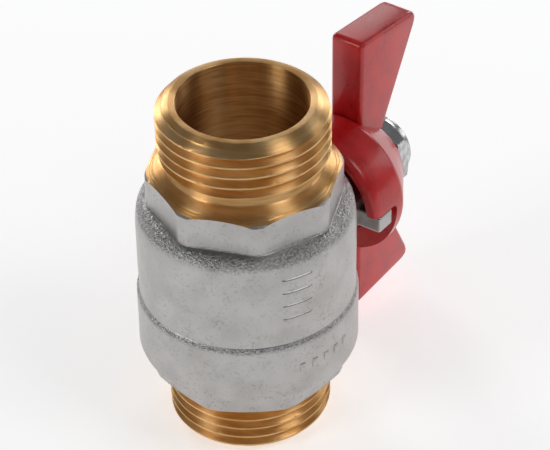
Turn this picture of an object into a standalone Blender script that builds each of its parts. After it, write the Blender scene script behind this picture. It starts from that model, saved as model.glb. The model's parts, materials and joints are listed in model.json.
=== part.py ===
"""Full-bore ball valve, G 3/4 male on both ends, with a butterfly handle.

Frame: the pipe axis is +Z with the origin at the centre of the lower end face, and the stem
axis is +X through the ball's centre, pointing from the ball to the handle.
"""

import math

import bmesh
import bpy
from mathutils import Matrix

# ---------------------------------------------------------------- driving dimensions (mm)
MM = 0.001
GAP = 0.3                       # clearance that touching pieces keep

LENGTH = 60.0                   # end face to end face
STEM_Z = LENGTH / 2             # height of the stem axis and of the ball's centre
PORT_R = 10.1                   # bore through both ends

THREAD_R = 13.22                # G 3/4 major radius
PITCH = 1.814                   # 14 threads to the inch
THREAD_DEPTH = 1.16
THREAD_TURNS = 4.6
THREAD_RUN = 8.6                # end face to the relief groove, at the body's end
END_THREAD_RUN = 7.6            # and at the end connection's
RELIEF_R = 12.0

BODY_LOW_Z = 15.3               # where the body stops and the end connection begins
RIDGE_Z = 25.4                  # step between the two bands of the body
SHOULDER_Z = 40.8
BAND_LOW_R = 17.7
BAND_HIGH_R = 17.2
OCTAGON_AF = 28.8               # across the wrench flats of the body
OCTAGON_LOW_Z = 42.0
END_OCTAGON_AF = 30.0           # across the wrench flats of the end connection

CHAMBER_R = 14.6
CHAMBER_TOP_Z = 37.0
SEAT_POCKET_R = 13.2
SEAT_SHOULDER = 11.0            # ball centre to the seat shoulder, above and below
JOINT_THREAD_R = 15.5           # bore of the body where the end connection screws in
JOINT_TOP_Z = 24.5

BALL_R = 14.2
BALL_BORE_R = 10.0
SLOT_FLOOR_X = 11.7
SLOT_WIDTH = 5.0

STEM_R = 4.0
STEM_BORE_R = 4.3
TANG_WIDTH = 4.4
TANG_LENGTH = 8.6
COLLAR_R = 5.6
COLLAR_LOW_X = 14.5
COLLAR_HIGH_X = 16.0
STEM_FLAT = 2.9                 # stem axis to the flats that turn the handle
STEM_FLAT_X = 26.4
STEM_END_X = 37.9
PACKING_R = 6.1
PACKING_BORE_R = 6.4
PACKING_FLOOR_X = 18.4
BOSS_R = 7.8
BOSS_END_X = 23.6
GLAND_AF = 13.0
GLAND_HEAD_X = 23.9
GLAND_END_X = 26.7

LUG_TIP = 12.0                  # stem axis to the tip of the stop lug, towards -Y
LUG_LOW = -2.5                  # the lug's lower and upper faces, from the stem axis
LUG_HIGH = 1.0
LUG_X = (19.4, 23.1)

SKIRT_R = 12.3
SKIRT_BORE_R = 10.1
SKIRT_END_X = 18.2
CUP_FLOOR_X = 23.9
RIM_X = 25.6
HUB_POCKET_R = 8.3
HUB_POCKET_X = 27.2
HUB_TOP_X = 33.2
HUB_TOP_R = 7.3
WING_HALF_T = 3.05
WING_INNER_X = 26.6
WING_TIP = 26.7                 # stem axis to the wing's tip, at its inner corner
WING_TIP_OUT = 25.6
WING_OUTER_X = 43.0
WING_ROUND = 0.8

NUT_AF = 12.0
NUT_TURN = 23.5                 # how far the nut came to rest, in degrees
NUT_LOW_X = HUB_TOP_X + GAP
NUT_CORNER_X = 35.8             # where the turned shoulder meets the corners
NUT_COLLAR_R = 5.6
NUT_COLLAR_X = 36.95            # where the shoulder meets the collar
NUT_END_X = 38.2
NUT_INSERT_R = 4.95

STEPS = 48                      # facets round the large turned pieces
SMALL_STEPS = 28                # and round the small ones
ON_STEM = (0.0, math.radians(90.0), 0.0)


# ---------------------------------------------------------------- scene and materials
def clear_scene():
    """Remove whatever objects the scene starts with."""
    for item in list(bpy.data.objects):
        bpy.data.objects.remove(item, do_unlink=True)


def new_collection(name):
    """Make a collection and hang it under the scene."""
    made = bpy.data.collections.new(name)
    bpy.context.scene.collection.children.link(made)
    return made


def material(name, colour, roughness, metallic):
    """Make a Principled material of one colour."""
    made = bpy.data.materials.new(name)
    made.use_nodes = True
    shader = made.node_tree.nodes["Principled BSDF"]
    shader.inputs["Base Color"].default_value = (*colour, 1.0)
    shader.inputs["Roughness"].default_value = roughness
    shader.inputs["Metallic"].default_value = metallic
    made.diffuse_color = (*colour, 1.0)
    return made


# ---------------------------------------------------------------- modelling helpers
def place(mesh, name, collection, location=(0, 0, 0), rotation=(0, 0, 0)):
    """Put a mesh into the scene as an object; the location is in millimetres."""
    item = bpy.data.objects.new(name, mesh)
    item.location = [value * MM for value in location]
    item.rotation_euler = rotation
    collection.objects.link(item)
    return item


def turned(name, outline, collection, steps=STEPS, location=(0, 0, 0), rotation=(0, 0, 0)):
    """Turn an outline of (radius, height) about local Z.

    The outline starts at the top and runs down the outer side. It closes on itself, unless both
    its ends lie on the axis.
    """
    mesh = bpy.data.meshes.new(name)
    points = [(radius * MM, 0.0, height * MM) for radius, height in outline]
    count = len(points)
    on_axis = outline[0][0] == 0.0 and outline[-1][0] == 0.0
    edges = count - 1 if on_axis else count
    mesh.from_pydata(points, [(i, (i + 1) % count) for i in range(edges)], [])
    item = place(mesh, name, collection, location, rotation)
    screw = item.modifiers.new("turn", "SCREW")
    screw.steps = steps
    screw.render_steps = steps
    screw.use_merge_vertices = True
    screw.merge_threshold = 0.00001
    return item


def spindle(name, outline, collection, steps=SMALL_STEPS):
    """Turn an outline of (radius, x) about the stem axis; x is the world position."""
    return turned(name, outline, collection, steps, (0, 0, STEM_Z), ON_STEM)


def ring(inner, outer, low, high, chamfer=0.0):
    """Outline of a plain ring, with its outer corners broken."""
    return [
        (outer - chamfer, high), (outer, high - chamfer),
        (outer, low + chamfer), (outer - chamfer, low),
        (inner, low), (inner, high),
    ] if chamfer else [(outer, high), (outer, low), (inner, low), (inner, high)]


def disc(radius, low, high):
    """Outline of a plain cylinder that reaches its own axis."""
    return [(0.0, high), (radius, high), (radius, low), (0.0, low)]


def block(name, size, centre, collection):
    """A box of the given size about a centre, both in millimetres."""
    mesh = bpy.data.meshes.new(name)
    shape = bmesh.new()
    bmesh.ops.create_cube(shape, size=1.0)
    for vertex in shape.verts:
        vertex.co = [value * extent * MM for value, extent in zip(vertex.co, size)]
    shape.to_mesh(mesh)
    shape.free()
    return place(mesh, name, collection, centre)


def prism(name, sides, across_flats, low, high, collection, turn=0.0, location=(0, 0, 0),
          rotation=(0, 0, 0)):
    """A straight prism between two heights, given its size across the flats.

    turn is how far its corners are turned about its own axis, in degrees.
    """
    mesh = bpy.data.meshes.new(name)
    shape = bmesh.new()
    corner = across_flats / 2 / math.cos(math.pi / sides) * MM
    bmesh.ops.create_cone(shape, cap_ends=True, segments=sides, radius1=corner,
                          radius2=corner, depth=(high - low) * MM)
    bmesh.ops.rotate(shape, verts=shape.verts, matrix=Matrix.Rotation(math.radians(turn), 3, "Z"))
    bmesh.ops.translate(shape, verts=shape.verts, vec=(0, 0, (high + low) / 2 * MM))
    shape.to_mesh(mesh)
    shape.free()
    return place(mesh, name, collection, location, rotation)


def combine(target, other, operation):
    """Add a Boolean of one object on another, and hide the second."""
    modifier = target.modifiers.new(operation.lower(), "BOOLEAN")
    modifier.operation = operation
    modifier.solver = "EXACT"
    modifier.object = other
    other.hide_render = True
    other.display_type = "WIRE"


def baked(item, look):
    """Turn an object's evaluated shape into its mesh, shade it and give it its material."""
    graph = bpy.context.evaluated_depsgraph_get()
    mesh = bpy.data.meshes.new_from_object(item.evaluated_get(graph))
    item.modifiers.clear()
    item.data = mesh
    mesh.materials.clear()
    mesh.materials.append(look)
    mesh.shade_smooth()
    mesh.set_sharp_from_angle(angle=math.radians(32))
    return item


def thread_groove(name, low, collection):
    """Closed V-shaped ribbon that winds up round the pipe axis, to be cut from a blank."""
    steps_a_turn = 24
    clear = 0.18
    half = PITCH / 2 * 0.97
    corners = [
        (THREAD_R + clear, low - half), (THREAD_R - THREAD_DEPTH, low), (THREAD_R + clear, low + half),
    ]
    mesh = bpy.data.meshes.new(name)
    shape = bmesh.new()
    verts = [shape.verts.new((radius * MM, 0.0, height * MM)) for radius, height in corners]
    face = shape.faces.new(verts)
    steps = round(THREAD_TURNS * steps_a_turn)
    bmesh.ops.spin(shape, geom=[face, *face.edges, *face.verts], cent=(0, 0, 0), axis=(0, 0, 1),
                   dvec=(0, 0, PITCH * MM / steps_a_turn),
                   angle=math.tau * THREAD_TURNS, steps=steps, use_duplicate=False)
    bmesh.ops.recalc_face_normals(shape, faces=shape.faces)
    shape.to_mesh(mesh)
    shape.free()
    return place(mesh, name, collection)


def threaded_end(face_z, into, run, relief):
    """Outer corners of a threaded end, from its face to the foot of the octagon's cone.

    into is -1 where the metal lies below the face and +1 where it lies above it; run is how far
    the thread reaches from the face, and relief is the length of the groove past it.
    """
    steps = [
        (11.2, 0.0), (12.1, 0.5), (THREAD_R, 1.35), (THREAD_R, run),
        (RELIEF_R, run + 0.7), (RELIEF_R, run + 0.7 + relief), (13.2, run + 1.35 + relief),
    ]
    return [(radius, face_z + into * depth) for radius, depth in steps]


# ---------------------------------------------------------------- pressure parts
def octagon_collar(name, across_flats, low, high, cone, cutters, turn=0.0):
    """Wrench octagon whose corners a turned cone cuts away."""
    collar = prism(name, 8, across_flats, low, high, cutters, turn)
    combine(collar, turned(name + "_turning", cone, cutters), "INTERSECT")
    return collar


def make_body(parts, cutters, look):
    """Forged body with the upper thread, the ball chamber, the stem boss and the stop lug."""
    flat_r = OCTAGON_AF / 2
    outline = [(PORT_R + 0.1, LENGTH), *threaded_end(LENGTH, -1, THREAD_RUN, 1.4)]
    outline += [
        (flat_r - 0.3, 48.2), (flat_r - 0.3, OCTAGON_LOW_Z),
        (15.6, SHOULDER_Z + 0.75), (16.7, SHOULDER_Z + 0.1), (BAND_HIGH_R, SHOULDER_Z - 0.8),
        (BAND_HIGH_R, RIDGE_Z + 0.3), (BAND_LOW_R, RIDGE_Z - 0.3),
        (BAND_LOW_R, BODY_LOW_Z + 0.3), (BAND_LOW_R - 0.3, BODY_LOW_Z),
        (JOINT_THREAD_R, BODY_LOW_Z), (JOINT_THREAD_R, JOINT_TOP_Z),
        (CHAMBER_R, JOINT_TOP_Z), (CHAMBER_R, CHAMBER_TOP_Z),
        (SEAT_POCKET_R, CHAMBER_TOP_Z + 1.0), (SEAT_POCKET_R, STEM_Z + SEAT_SHOULDER),
        (PORT_R, STEM_Z + SEAT_SHOULDER), (PORT_R, LENGTH - 0.1),
    ]
    body = turned("valve_body", outline, parts)
    cone = [(0.0, 48.7), (13.3, 48.7), (16.3, 47.0), (16.3, OCTAGON_LOW_Z - 1.0),
            (0.0, OCTAGON_LOW_Z - 1.0)]
    collar = octagon_collar("body_octagon", OCTAGON_AF, OCTAGON_LOW_Z - 0.6, 49.0, cone, cutters)
    combine(collar, turned("octagon_bore", disc(12.6, 38.0, 52.0), cutters), "DIFFERENCE")
    combine(body, collar, "UNION")
    combine(body, thread_groove("upper_thread_groove", LENGTH - THREAD_RUN - 0.1, cutters),
            "DIFFERENCE")

    boss = spindle("stem_boss", disc(BOSS_R, 15.4, BOSS_END_X), cutters)
    combine(body, boss, "UNION")
    lug_depth = LUG_TIP - BOSS_R + 1.5
    lug = block("stop_lug", (LUG_X[1] - LUG_X[0], lug_depth, LUG_HIGH - LUG_LOW),
                (sum(LUG_X) / 2, -LUG_TIP + lug_depth / 2, STEM_Z + (LUG_HIGH + LUG_LOW) / 2), cutters)
    bevel = lug.modifiers.new("soften", "BEVEL")
    bevel.width = 0.45 * MM
    bevel.segments = 2
    combine(body, lug, "UNION")

    well = [
        (0.0, BOSS_END_X + 1.0), (PACKING_BORE_R, BOSS_END_X + 1.0), (PACKING_BORE_R, PACKING_FLOOR_X),
        (STEM_BORE_R, PACKING_FLOOR_X), (STEM_BORE_R, 17.2), (COLLAR_R + GAP, 17.2),
        (COLLAR_R + GAP, 11.0), (0.0, 11.0),
    ]
    combine(body, spindle("stem_well", well, cutters), "DIFFERENCE")
    return baked(body, look)


def make_end_connection(parts, cutters, look):
    """Screwed-in end with the lower thread, its wrench octagon and the lower seat pocket."""
    flat_r = END_OCTAGON_AF / 2
    thread_r = JOINT_THREAD_R - GAP
    collar_top = BODY_LOW_Z - GAP
    seat_z = STEM_Z - SEAT_SHOULDER
    top = 22.9
    outline = [
        (SEAT_POCKET_R + 0.3, top), (thread_r - 0.4, top), (thread_r, top - 0.4),
        (thread_r, collar_top + 0.9), (flat_r - 0.5, collar_top + 0.3), (flat_r - 0.5, collar_top),
        (flat_r - 0.5, 10.6), *reversed(threaded_end(0.0, 1, END_THREAD_RUN, 1.0)),
        (PORT_R + 0.1, 0.0), (PORT_R, 0.1), (PORT_R, seat_z), (SEAT_POCKET_R, seat_z),
        (SEAT_POCKET_R, top - 0.3),
    ]
    end = turned("end_connection", outline, parts)
    cone = [(0.0, collar_top + 1.0), (17.0, collar_top + 1.0), (17.0, 11.6), (13.3, 9.95), (0.0, 9.95)]
    collar = octagon_collar("end_octagon", END_OCTAGON_AF, 9.7, collar_top, cone, cutters, 15.0)
    combine(collar, turned("end_octagon_bore", disc(12.6, 8.0, 18.0), cutters), "DIFFERENCE")
    combine(end, collar, "UNION")
    combine(end, thread_groove("lower_thread_groove", -0.4, cutters), "DIFFERENCE")
    return baked(end, look)


def make_ball(parts, cutters, look):
    """Full-bore ball with the slot that the stem's tang turns."""
    half = math.sqrt(BALL_R ** 2 - BALL_BORE_R ** 2)
    reach = math.acos(half / BALL_R)
    arc_steps = 12
    outline = []
    for index in range(arc_steps + 1):
        angle = reach + (math.pi - 2 * reach) * index / arc_steps
        outline.append((BALL_R * math.sin(angle), BALL_R * math.cos(angle)))
    ball = turned("ball", outline, parts, 36, (0, 0, STEM_Z))
    slot = block("ball_slot", (8.0, 2 * BALL_R + 4, SLOT_WIDTH), (SLOT_FLOOR_X + 4.0, 0, STEM_Z), cutters)
    combine(ball, slot, "DIFFERENCE")
    return baked(ball, look)


def make_seats(parts, look):
    """The two seat rings, each a ring with a cone that follows the ball."""
    touch = BALL_R + GAP
    outer = SEAT_POCKET_R - GAP
    back = SEAT_SHOULDER - GAP
    made = []
    for name, side in (("seat_ring_upper", 1), ("seat_ring_lower", -1)):
        inner_r = PORT_R + 0.1
        lip_r = outer - 0.6
        inner_h = math.sqrt(touch ** 2 - inner_r ** 2)
        lip_h = math.sqrt(touch ** 2 - lip_r ** 2)
        outline = [(outer, back), (outer, lip_h - 0.1), (lip_r, lip_h), (inner_r, inner_h), (inner_r, back)]
        outline = [(radius, STEM_Z + side * height) for radius, height in outline]
        if side < 0:
            outline.reverse()
        made.append(baked(turned(name, outline, parts), look))
    return made


def make_body_seal(parts, look):
    """Flat ring squeezed between the end connection and the body."""
    low = 22.9 + GAP
    return baked(turned("body_seal", ring(13.7, JOINT_THREAD_R - GAP, low, JOINT_TOP_Z - GAP), parts), look)


# ---------------------------------------------------------------- stem group
def make_stem(parts, cutters, look):
    """Stem pushed in from inside: tang, collar, seal groove, handle flats and thread."""
    outline = [
        (0.0, STEM_END_X), (3.5, STEM_END_X), (STEM_R, STEM_END_X - 0.5),
        (STEM_R, 18.35), (3.2, 18.35), (3.2, 17.25), (STEM_R, 17.25), (STEM_R, COLLAR_HIGH_X),
        (COLLAR_R, COLLAR_HIGH_X), (COLLAR_R, COLLAR_LOW_X + 0.3), (COLLAR_R - 0.3, COLLAR_LOW_X),
        (0.0, COLLAR_LOW_X),
    ]
    stem = spindle("stem", outline, parts)
    low = SLOT_FLOOR_X + GAP
    high = COLLAR_LOW_X + 0.5
    tang = block("stem_tang", (high - low, TANG_LENGTH, TANG_WIDTH), ((low + high) / 2, 0, STEM_Z), cutters)
    combine(stem, tang, "UNION")
    reach = HUB_TOP_X + 0.2
    for side in (-1, 1):
        flat = block("stem_flat", (reach - STEM_FLAT_X, 4.0, 12.0),
                     ((reach + STEM_FLAT_X) / 2, side * (STEM_FLAT + 2.0), STEM_Z), cutters)
        combine(stem, flat, "DIFFERENCE")
    return baked(stem, look)


def make_stem_seals(parts, looks):
    """Thrust washer, seal ring and packing rings, in the order that the stem passes them."""
    inner = STEM_BORE_R
    washer = spindle("thrust_washer", ring(inner, COLLAR_R, 16.3, 16.9), parts)
    baked(washer, looks["ptfe"])

    section = []
    corners = 8
    for index in range(corners):
        angle = -math.tau * index / corners
        section.append((3.78 + 0.4 * math.cos(angle), 17.8 + 0.4 * math.sin(angle)))
    baked(spindle("stem_o_ring", section, parts), looks["rubber"])

    low = PACKING_FLOOR_X + GAP
    thick = 1.0
    for index in range(2):
        base = low + index * (thick + GAP)
        packing = spindle(f"packing_ring_{index + 1}", ring(inner, PACKING_R, base, base + thick), parts)
        baked(packing, looks["ptfe"])


def make_gland_nut(parts, cutters, look):
    """Hollow screw that presses the packing down, with a hexagon head."""
    nose = PACKING_FLOOR_X + 3 * GAP + 2.0
    shank = ring(STEM_BORE_R, PACKING_R, nose, GLAND_HEAD_X + 0.4, 0.0)
    gland = spindle("gland_nut", shank, parts)
    head = prism("gland_head", 6, GLAND_AF, GLAND_HEAD_X, GLAND_END_X, cutters, 0.0, (0, 0, STEM_Z),
                 ON_STEM)
    corner_r = GLAND_AF / 2 / math.cos(math.radians(30))
    turning = [(0.0, GLAND_END_X + 0.1), (GLAND_AF / 2 - 0.1, GLAND_END_X + 0.1), (corner_r + 0.1, GLAND_END_X - 0.5),
               (corner_r + 0.1, GLAND_HEAD_X - 1.0), (0.0, GLAND_HEAD_X - 1.0)]
    combine(head, spindle("gland_turning", turning, cutters), "INTERSECT")
    combine(head, spindle("gland_bore", disc(STEM_BORE_R, 20.0, 30.0), cutters), "DIFFERENCE")
    combine(gland, head, "UNION")
    return baked(gland, look)


# ---------------------------------------------------------------- handle group
def wing_outline(side):
    """Corners of one wing in the plane of the handle, as (x, z) from the stem axis."""
    corners = [
        (WING_INNER_X, 8.9, 0.0), (WING_INNER_X, WING_TIP, 0.9), (WING_OUTER_X, WING_TIP_OUT, 2.6),
        (HUB_TOP_X, 7.0, 0.0), (29.4, 7.0, 0.0),
    ]
    points = []
    count = len(corners)
    for index, (x, z, radius) in enumerate(corners):
        if not radius:
            points.append((x, z * side))
            continue
        before = corners[index - 1]
        after = corners[(index + 1) % count]
        arms = []
        for other in (before, after):
            span = math.hypot(other[0] - x, other[1] - z)
            arms.append(((other[0] - x) / span, (other[1] - z) / span))
        turn = math.acos(arms[0][0] * arms[1][0] + arms[0][1] * arms[1][1])
        reach = radius / math.tan(turn / 2)
        start = (x + arms[0][0] * reach, z + arms[0][1] * reach)
        stop = (x + arms[1][0] * reach, z + arms[1][1] * reach)
        for step in range(7):
            part = step / 6
            ends = [(1 - part) ** 2 * a + 2 * part * (1 - part) * b + part ** 2 * c
                    for a, b, c in zip(start, (x, z), stop)]
            points.append((ends[0], ends[1] * side))
    return points


def make_wing(name, side, cutters):
    """One wing, a rounded plate that starts inside the hub."""
    curve = bpy.data.curves.new(name, "CURVE")
    curve.dimensions = "2D"
    curve.fill_mode = "BOTH"
    curve.extrude = (WING_HALF_T - WING_ROUND) * MM
    curve.bevel_depth = WING_ROUND * MM
    curve.bevel_resolution = 1
    curve.offset = -WING_ROUND * MM
    outline = wing_outline(side)
    spline = curve.splines.new("POLY")
    spline.points.add(len(outline) - 1)
    for point, (x, z) in zip(spline.points, outline):
        point.co = (x * MM, z * MM, 0.0, 1.0)
    spline.use_cyclic_u = True
    draft = bpy.data.objects.new(name + "_draft", curve)
    draft.location = (0.0, 0.0, STEM_Z * MM)
    draft.rotation_euler = (math.radians(90.0), 0.0, 0.0)
    cutters.objects.link(draft)
    graph = bpy.context.evaluated_depsgraph_get()
    mesh = bpy.data.meshes.new_from_object(draft.evaluated_get(graph))
    shape = bmesh.new()
    shape.from_mesh(mesh)
    bmesh.ops.remove_doubles(shape, verts=shape.verts, dist=0.00001)
    bmesh.ops.recalc_face_normals(shape, faces=shape.faces)
    shape.to_mesh(mesh)
    shape.free()
    wing = bpy.data.objects.new(name, mesh)
    wing.matrix_world = draft.matrix_world
    cutters.objects.link(wing)
    bpy.data.objects.remove(draft, do_unlink=True)
    return wing


def make_handle(parts, cutters, look):
    """Cast butterfly handle: domed hub, two wings and a skirt that meets the stop lug."""
    outline = [
        (HUB_TOP_R - 0.4, HUB_TOP_X), (HUB_TOP_R, HUB_TOP_X - 0.3), (SKIRT_R - 0.4, RIM_X + 0.3),
        (SKIRT_R, RIM_X - 0.3), (SKIRT_R, SKIRT_END_X + 1.2), (SKIRT_R - 0.35, SKIRT_END_X + 0.35),
        (SKIRT_R - 1.2, SKIRT_END_X), (SKIRT_BORE_R + 0.3, SKIRT_END_X),
        (SKIRT_BORE_R, SKIRT_END_X + 0.3), (SKIRT_BORE_R, CUP_FLOOR_X), (HUB_POCKET_R, CUP_FLOOR_X),
        (HUB_POCKET_R, HUB_POCKET_X), (2.0, HUB_POCKET_X), (2.0, HUB_TOP_X),
    ]
    handle = spindle("handle", outline, parts, STEPS)
    low = SKIRT_END_X - 2.0
    reach = 16.0
    far_y = -LUG_LOW + GAP
    far_z = LUG_HIGH + GAP
    cutout = block("skirt_cutout", (CUP_FLOOR_X - low, reach + far_y, reach + far_z),
                   ((CUP_FLOOR_X + low) / 2, (far_y - reach) / 2, STEM_Z + (far_z - reach) / 2), cutters)
    combine(handle, cutout, "DIFFERENCE")
    for name, side in (("wing_upper", 1), ("wing_lower", -1)):
        combine(handle, make_wing(name, side, cutters), "UNION")
    hole = spindle("handle_hole", disc(STEM_R + GAP, 20.0, 40.0), cutters)
    combine(hole, block("handle_hole_flats", (30.0, 2 * (STEM_FLAT + GAP), 12.0), (30.0, 0, STEM_Z), cutters),
            "INTERSECT")
    combine(handle, hole, "DIFFERENCE")
    return baked(handle, look)


def make_fasteners(parts, cutters, looks):
    """Self-locking nut at the end of the stem, and the plastic insert that grips the thread."""
    hole_r = STEM_R + GAP
    pocket_r = NUT_INSERT_R + 0.15
    floor = NUT_COLLAR_X - 0.05
    blank = [
        (pocket_r, NUT_END_X), (NUT_COLLAR_R - 0.3, NUT_END_X), (NUT_COLLAR_R, NUT_END_X - 0.4),
        (NUT_COLLAR_R, NUT_COLLAR_X - 0.8), (hole_r, NUT_COLLAR_X - 0.8), (hole_r, floor), (pocket_r, floor),
    ]
    nut = spindle("lock_nut", blank, parts)
    hexagon = prism("nut_hexagon", 6, NUT_AF, NUT_LOW_X, NUT_COLLAR_X, cutters, NUT_TURN, (0, 0, STEM_Z),
                    ON_STEM)
    corner_r = NUT_AF / 2 / math.cos(math.radians(30)) + 0.1
    turning = [
        (0.0, NUT_COLLAR_X + 0.1), (NUT_COLLAR_R - 0.1, NUT_COLLAR_X + 0.1), (corner_r, NUT_CORNER_X - 0.1),
        (corner_r, NUT_LOW_X + 0.4), (NUT_AF / 2 - 0.2, NUT_LOW_X - 0.1), (0.0, NUT_LOW_X - 0.1),
    ]
    combine(hexagon, spindle("nut_turning", turning, cutters), "INTERSECT")
    combine(hexagon, spindle("nut_bore", disc(hole_r, 30.0, 45.0), cutters), "DIFFERENCE")
    combine(hexagon, spindle("nut_insert_bore", disc(pocket_r, floor, 45.0), cutters), "DIFFERENCE")
    combine(nut, hexagon, "UNION")
    baked(nut, looks["zinc"])

    insert = spindle("lock_nut_insert", ring(hole_r, NUT_INSERT_R, floor + 0.15, NUT_END_X - 0.2), parts)
    baked(insert, looks["nylon"])


# ---------------------------------------------------------------- assembly
def main():
    """Model the whole valve in its open position."""
    clear_scene()
    parts = new_collection("ball_valve")
    cutters = new_collection("cutters")
    looks = {
        "nickel": material("nickel_plated_brass", (0.62, 0.62, 0.63), 0.38, 1.0),
        "brass": material("brass", (0.72, 0.50, 0.22), 0.28, 1.0),
        "chrome": material("chromed_brass", (0.80, 0.80, 0.82), 0.06, 1.0),
        "ptfe": material("ptfe", (0.90, 0.90, 0.88), 0.45, 0.0),
        "rubber": material("rubber", (0.03, 0.03, 0.03), 0.70, 0.0),
        "red": material("red_enamel", (0.52, 0.02, 0.02), 0.25, 0.0),
        "zinc": material("zinc_plated_steel", (0.55, 0.56, 0.58), 0.30, 1.0),
        "nylon": material("nylon", (0.75, 0.76, 0.72), 0.50, 0.0),
    }
    make_body(parts, cutters, looks["nickel"])
    make_end_connection(parts, cutters, looks["brass"])
    make_ball(parts, cutters, looks["chrome"])
    make_seats(parts, looks["ptfe"])
    make_body_seal(parts, looks["ptfe"])
    make_stem(parts, cutters, looks["brass"])
    make_stem_seals(parts, looks)
    make_gland_nut(parts, cutters, looks["brass"])
    make_handle(parts, cutters, looks["red"])
    make_fasteners(parts, cutters, looks)


main()
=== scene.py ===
"""Look of a G 3/4 full-bore ball valve with a red butterfly handle.

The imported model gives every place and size. Each sub-assembly is a class that builds its own
meshes and dresses them, and the studio round it is a class of its own.
"""

import json
import logging
import math
from dataclasses import dataclass, field
from enum import Enum

import bmesh
import bpy
import numpy as np
from mathutils import Matrix, Vector, noise


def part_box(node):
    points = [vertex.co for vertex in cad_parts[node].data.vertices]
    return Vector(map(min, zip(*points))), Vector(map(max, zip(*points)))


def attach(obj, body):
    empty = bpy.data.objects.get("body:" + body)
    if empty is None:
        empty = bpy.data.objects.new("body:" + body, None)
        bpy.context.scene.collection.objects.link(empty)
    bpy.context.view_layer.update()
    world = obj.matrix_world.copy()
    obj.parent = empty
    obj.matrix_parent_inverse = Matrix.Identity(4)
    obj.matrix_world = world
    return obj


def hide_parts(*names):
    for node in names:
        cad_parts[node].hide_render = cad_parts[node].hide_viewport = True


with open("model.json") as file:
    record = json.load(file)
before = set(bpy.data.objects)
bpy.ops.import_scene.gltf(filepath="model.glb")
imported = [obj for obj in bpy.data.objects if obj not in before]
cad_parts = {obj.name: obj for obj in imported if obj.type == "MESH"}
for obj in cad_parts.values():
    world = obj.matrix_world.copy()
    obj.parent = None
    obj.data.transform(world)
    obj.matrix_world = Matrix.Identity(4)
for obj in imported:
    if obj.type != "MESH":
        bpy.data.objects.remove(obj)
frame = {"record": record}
log = logging.getLogger("ball_valve")

MM = 0.001
TURN = math.tau
COLUMNS = 384
Profile = list[tuple[float, float]]
Triple = tuple[float, float, float]
Socket = bpy.types.NodeSocket
Looks = dict[str, bpy.types.Material]


class Axis(Enum):
    """Axis that a turned piece spins about."""

    PIPE = "pipe"
    STEM = "stem"


# ------------------------------------------------------------------ node graph helper
class Graph:
    """Small writer of node trees, for shaders and for geometry alike."""

    def __init__(self, tree: bpy.types.NodeTree) -> None:
        """Keep the tree that the calls below add to.

        Args:
            tree: the node tree to write in.
        """
        self.tree = tree

    def add(self, kind: str, **settings: object) -> bpy.types.Node:
        """Add a node and set its properties.

        Args:
            kind: the node's type name.
            settings: properties of the node, by name.

        Returns:
            The new node.
        """
        node = self.tree.nodes.new(kind)
        for name, value in settings.items():
            setattr(node, name, value)
        return node

    def feed(self, socket: Socket, value: object) -> None:
        """Link a socket, or set its value.

        Args:
            socket: the input to fill.
            value: another socket, or a plain value.
        """
        if isinstance(value, Socket):
            self.tree.links.new(value, socket)
        else:
            socket.default_value = value

    def calc(self, operation: str, *values: object) -> Socket:
        """One Math node.

        Args:
            operation: the Math node's operation.
            values: its inputs, each a socket or a number.

        Returns:
            The node's output.
        """
        node = self.add("ShaderNodeMath", operation=operation)
        for socket, value in zip(node.inputs, values):
            self.feed(socket, value)
        return node.outputs[0]

    def span(self, value: object, low: object, high: object, to_low: object, to_high: object,
             smooth: bool = False) -> Socket:
        """Map a value from one range to another and hold it there.

        Args:
            value: the number to map.
            low: start of its range.
            high: end of its range.
            to_low: result at the start.
            to_high: result at the end.
            smooth: whether the change eases in and out.

        Returns:
            The mapped value.
        """
        node = self.add("ShaderNodeMapRange", clamp=True)
        node.interpolation_type = "SMOOTHSTEP" if smooth else "LINEAR"
        for index, item in enumerate((value, low, high, to_low, to_high)):
            self.feed(node.inputs[index], item)
        return node.outputs[0]

    def vector(self, x: object, y: object, z: object) -> Socket:
        """Combine three numbers into a vector.

        Args:
            x: first part.
            y: second part.
            z: third part.

        Returns:
            The vector's socket.
        """
        node = self.add("ShaderNodeCombineXYZ")
        for socket, value in zip(node.inputs, (x, y, z)):
            self.feed(socket, value)
        return node.outputs[0]

    def clouds(self, place: object, scale: object, detail: float = 3.0, rough: float = 0.5) -> Socket:
        """Noise texture read at a place.

        Args:
            place: the vector that it is read at.
            scale: cells to a metre, a number or a socket.
            detail: octaves.
            rough: how strong the finer octaves are.

        Returns:
            The noise value, about 0.5 on average.
        """
        node = self.add("ShaderNodeTexNoise")
        self.feed(node.inputs["Vector"], place)
        self.feed(node.inputs["Scale"], scale)
        node.inputs["Detail"].default_value = detail
        node.inputs["Roughness"].default_value = rough
        return node.outputs[0]

    def blend(self, factor: object, first: object, second: object) -> Socket:
        """Mix two colours.

        Args:
            factor: 0 gives the first and 1 the second.
            first: a colour or its socket.
            second: a colour or its socket.

        Returns:
            The mixed colour.
        """
        node = self.add("ShaderNodeMix", data_type="RGBA")
        self.feed(node.inputs[0], factor)
        for socket, value in ((node.inputs[6], first), (node.inputs[7], second)):
            self.feed(socket, (*value, 1.0) if isinstance(value, tuple) and len(value) == 3 else value)
        return node.outputs[2]

    def relief(self, height: object, strength: float, depth: float,
               normal: object = None) -> Socket:
        """Bump from a height.

        Args:
            height: the height's socket.
            strength: how much of it shows.
            depth: real depth of a height of 1, in metres.
            normal: a normal to start from, or None.

        Returns:
            The bent normal.
        """
        node = self.add("ShaderNodeBump")
        node.inputs["Strength"].default_value = strength
        node.inputs["Distance"].default_value = depth
        self.feed(node.inputs["Height"], height)
        if normal is not None:
            self.feed(node.inputs["Normal"], normal)
        return node.outputs["Normal"]


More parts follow.
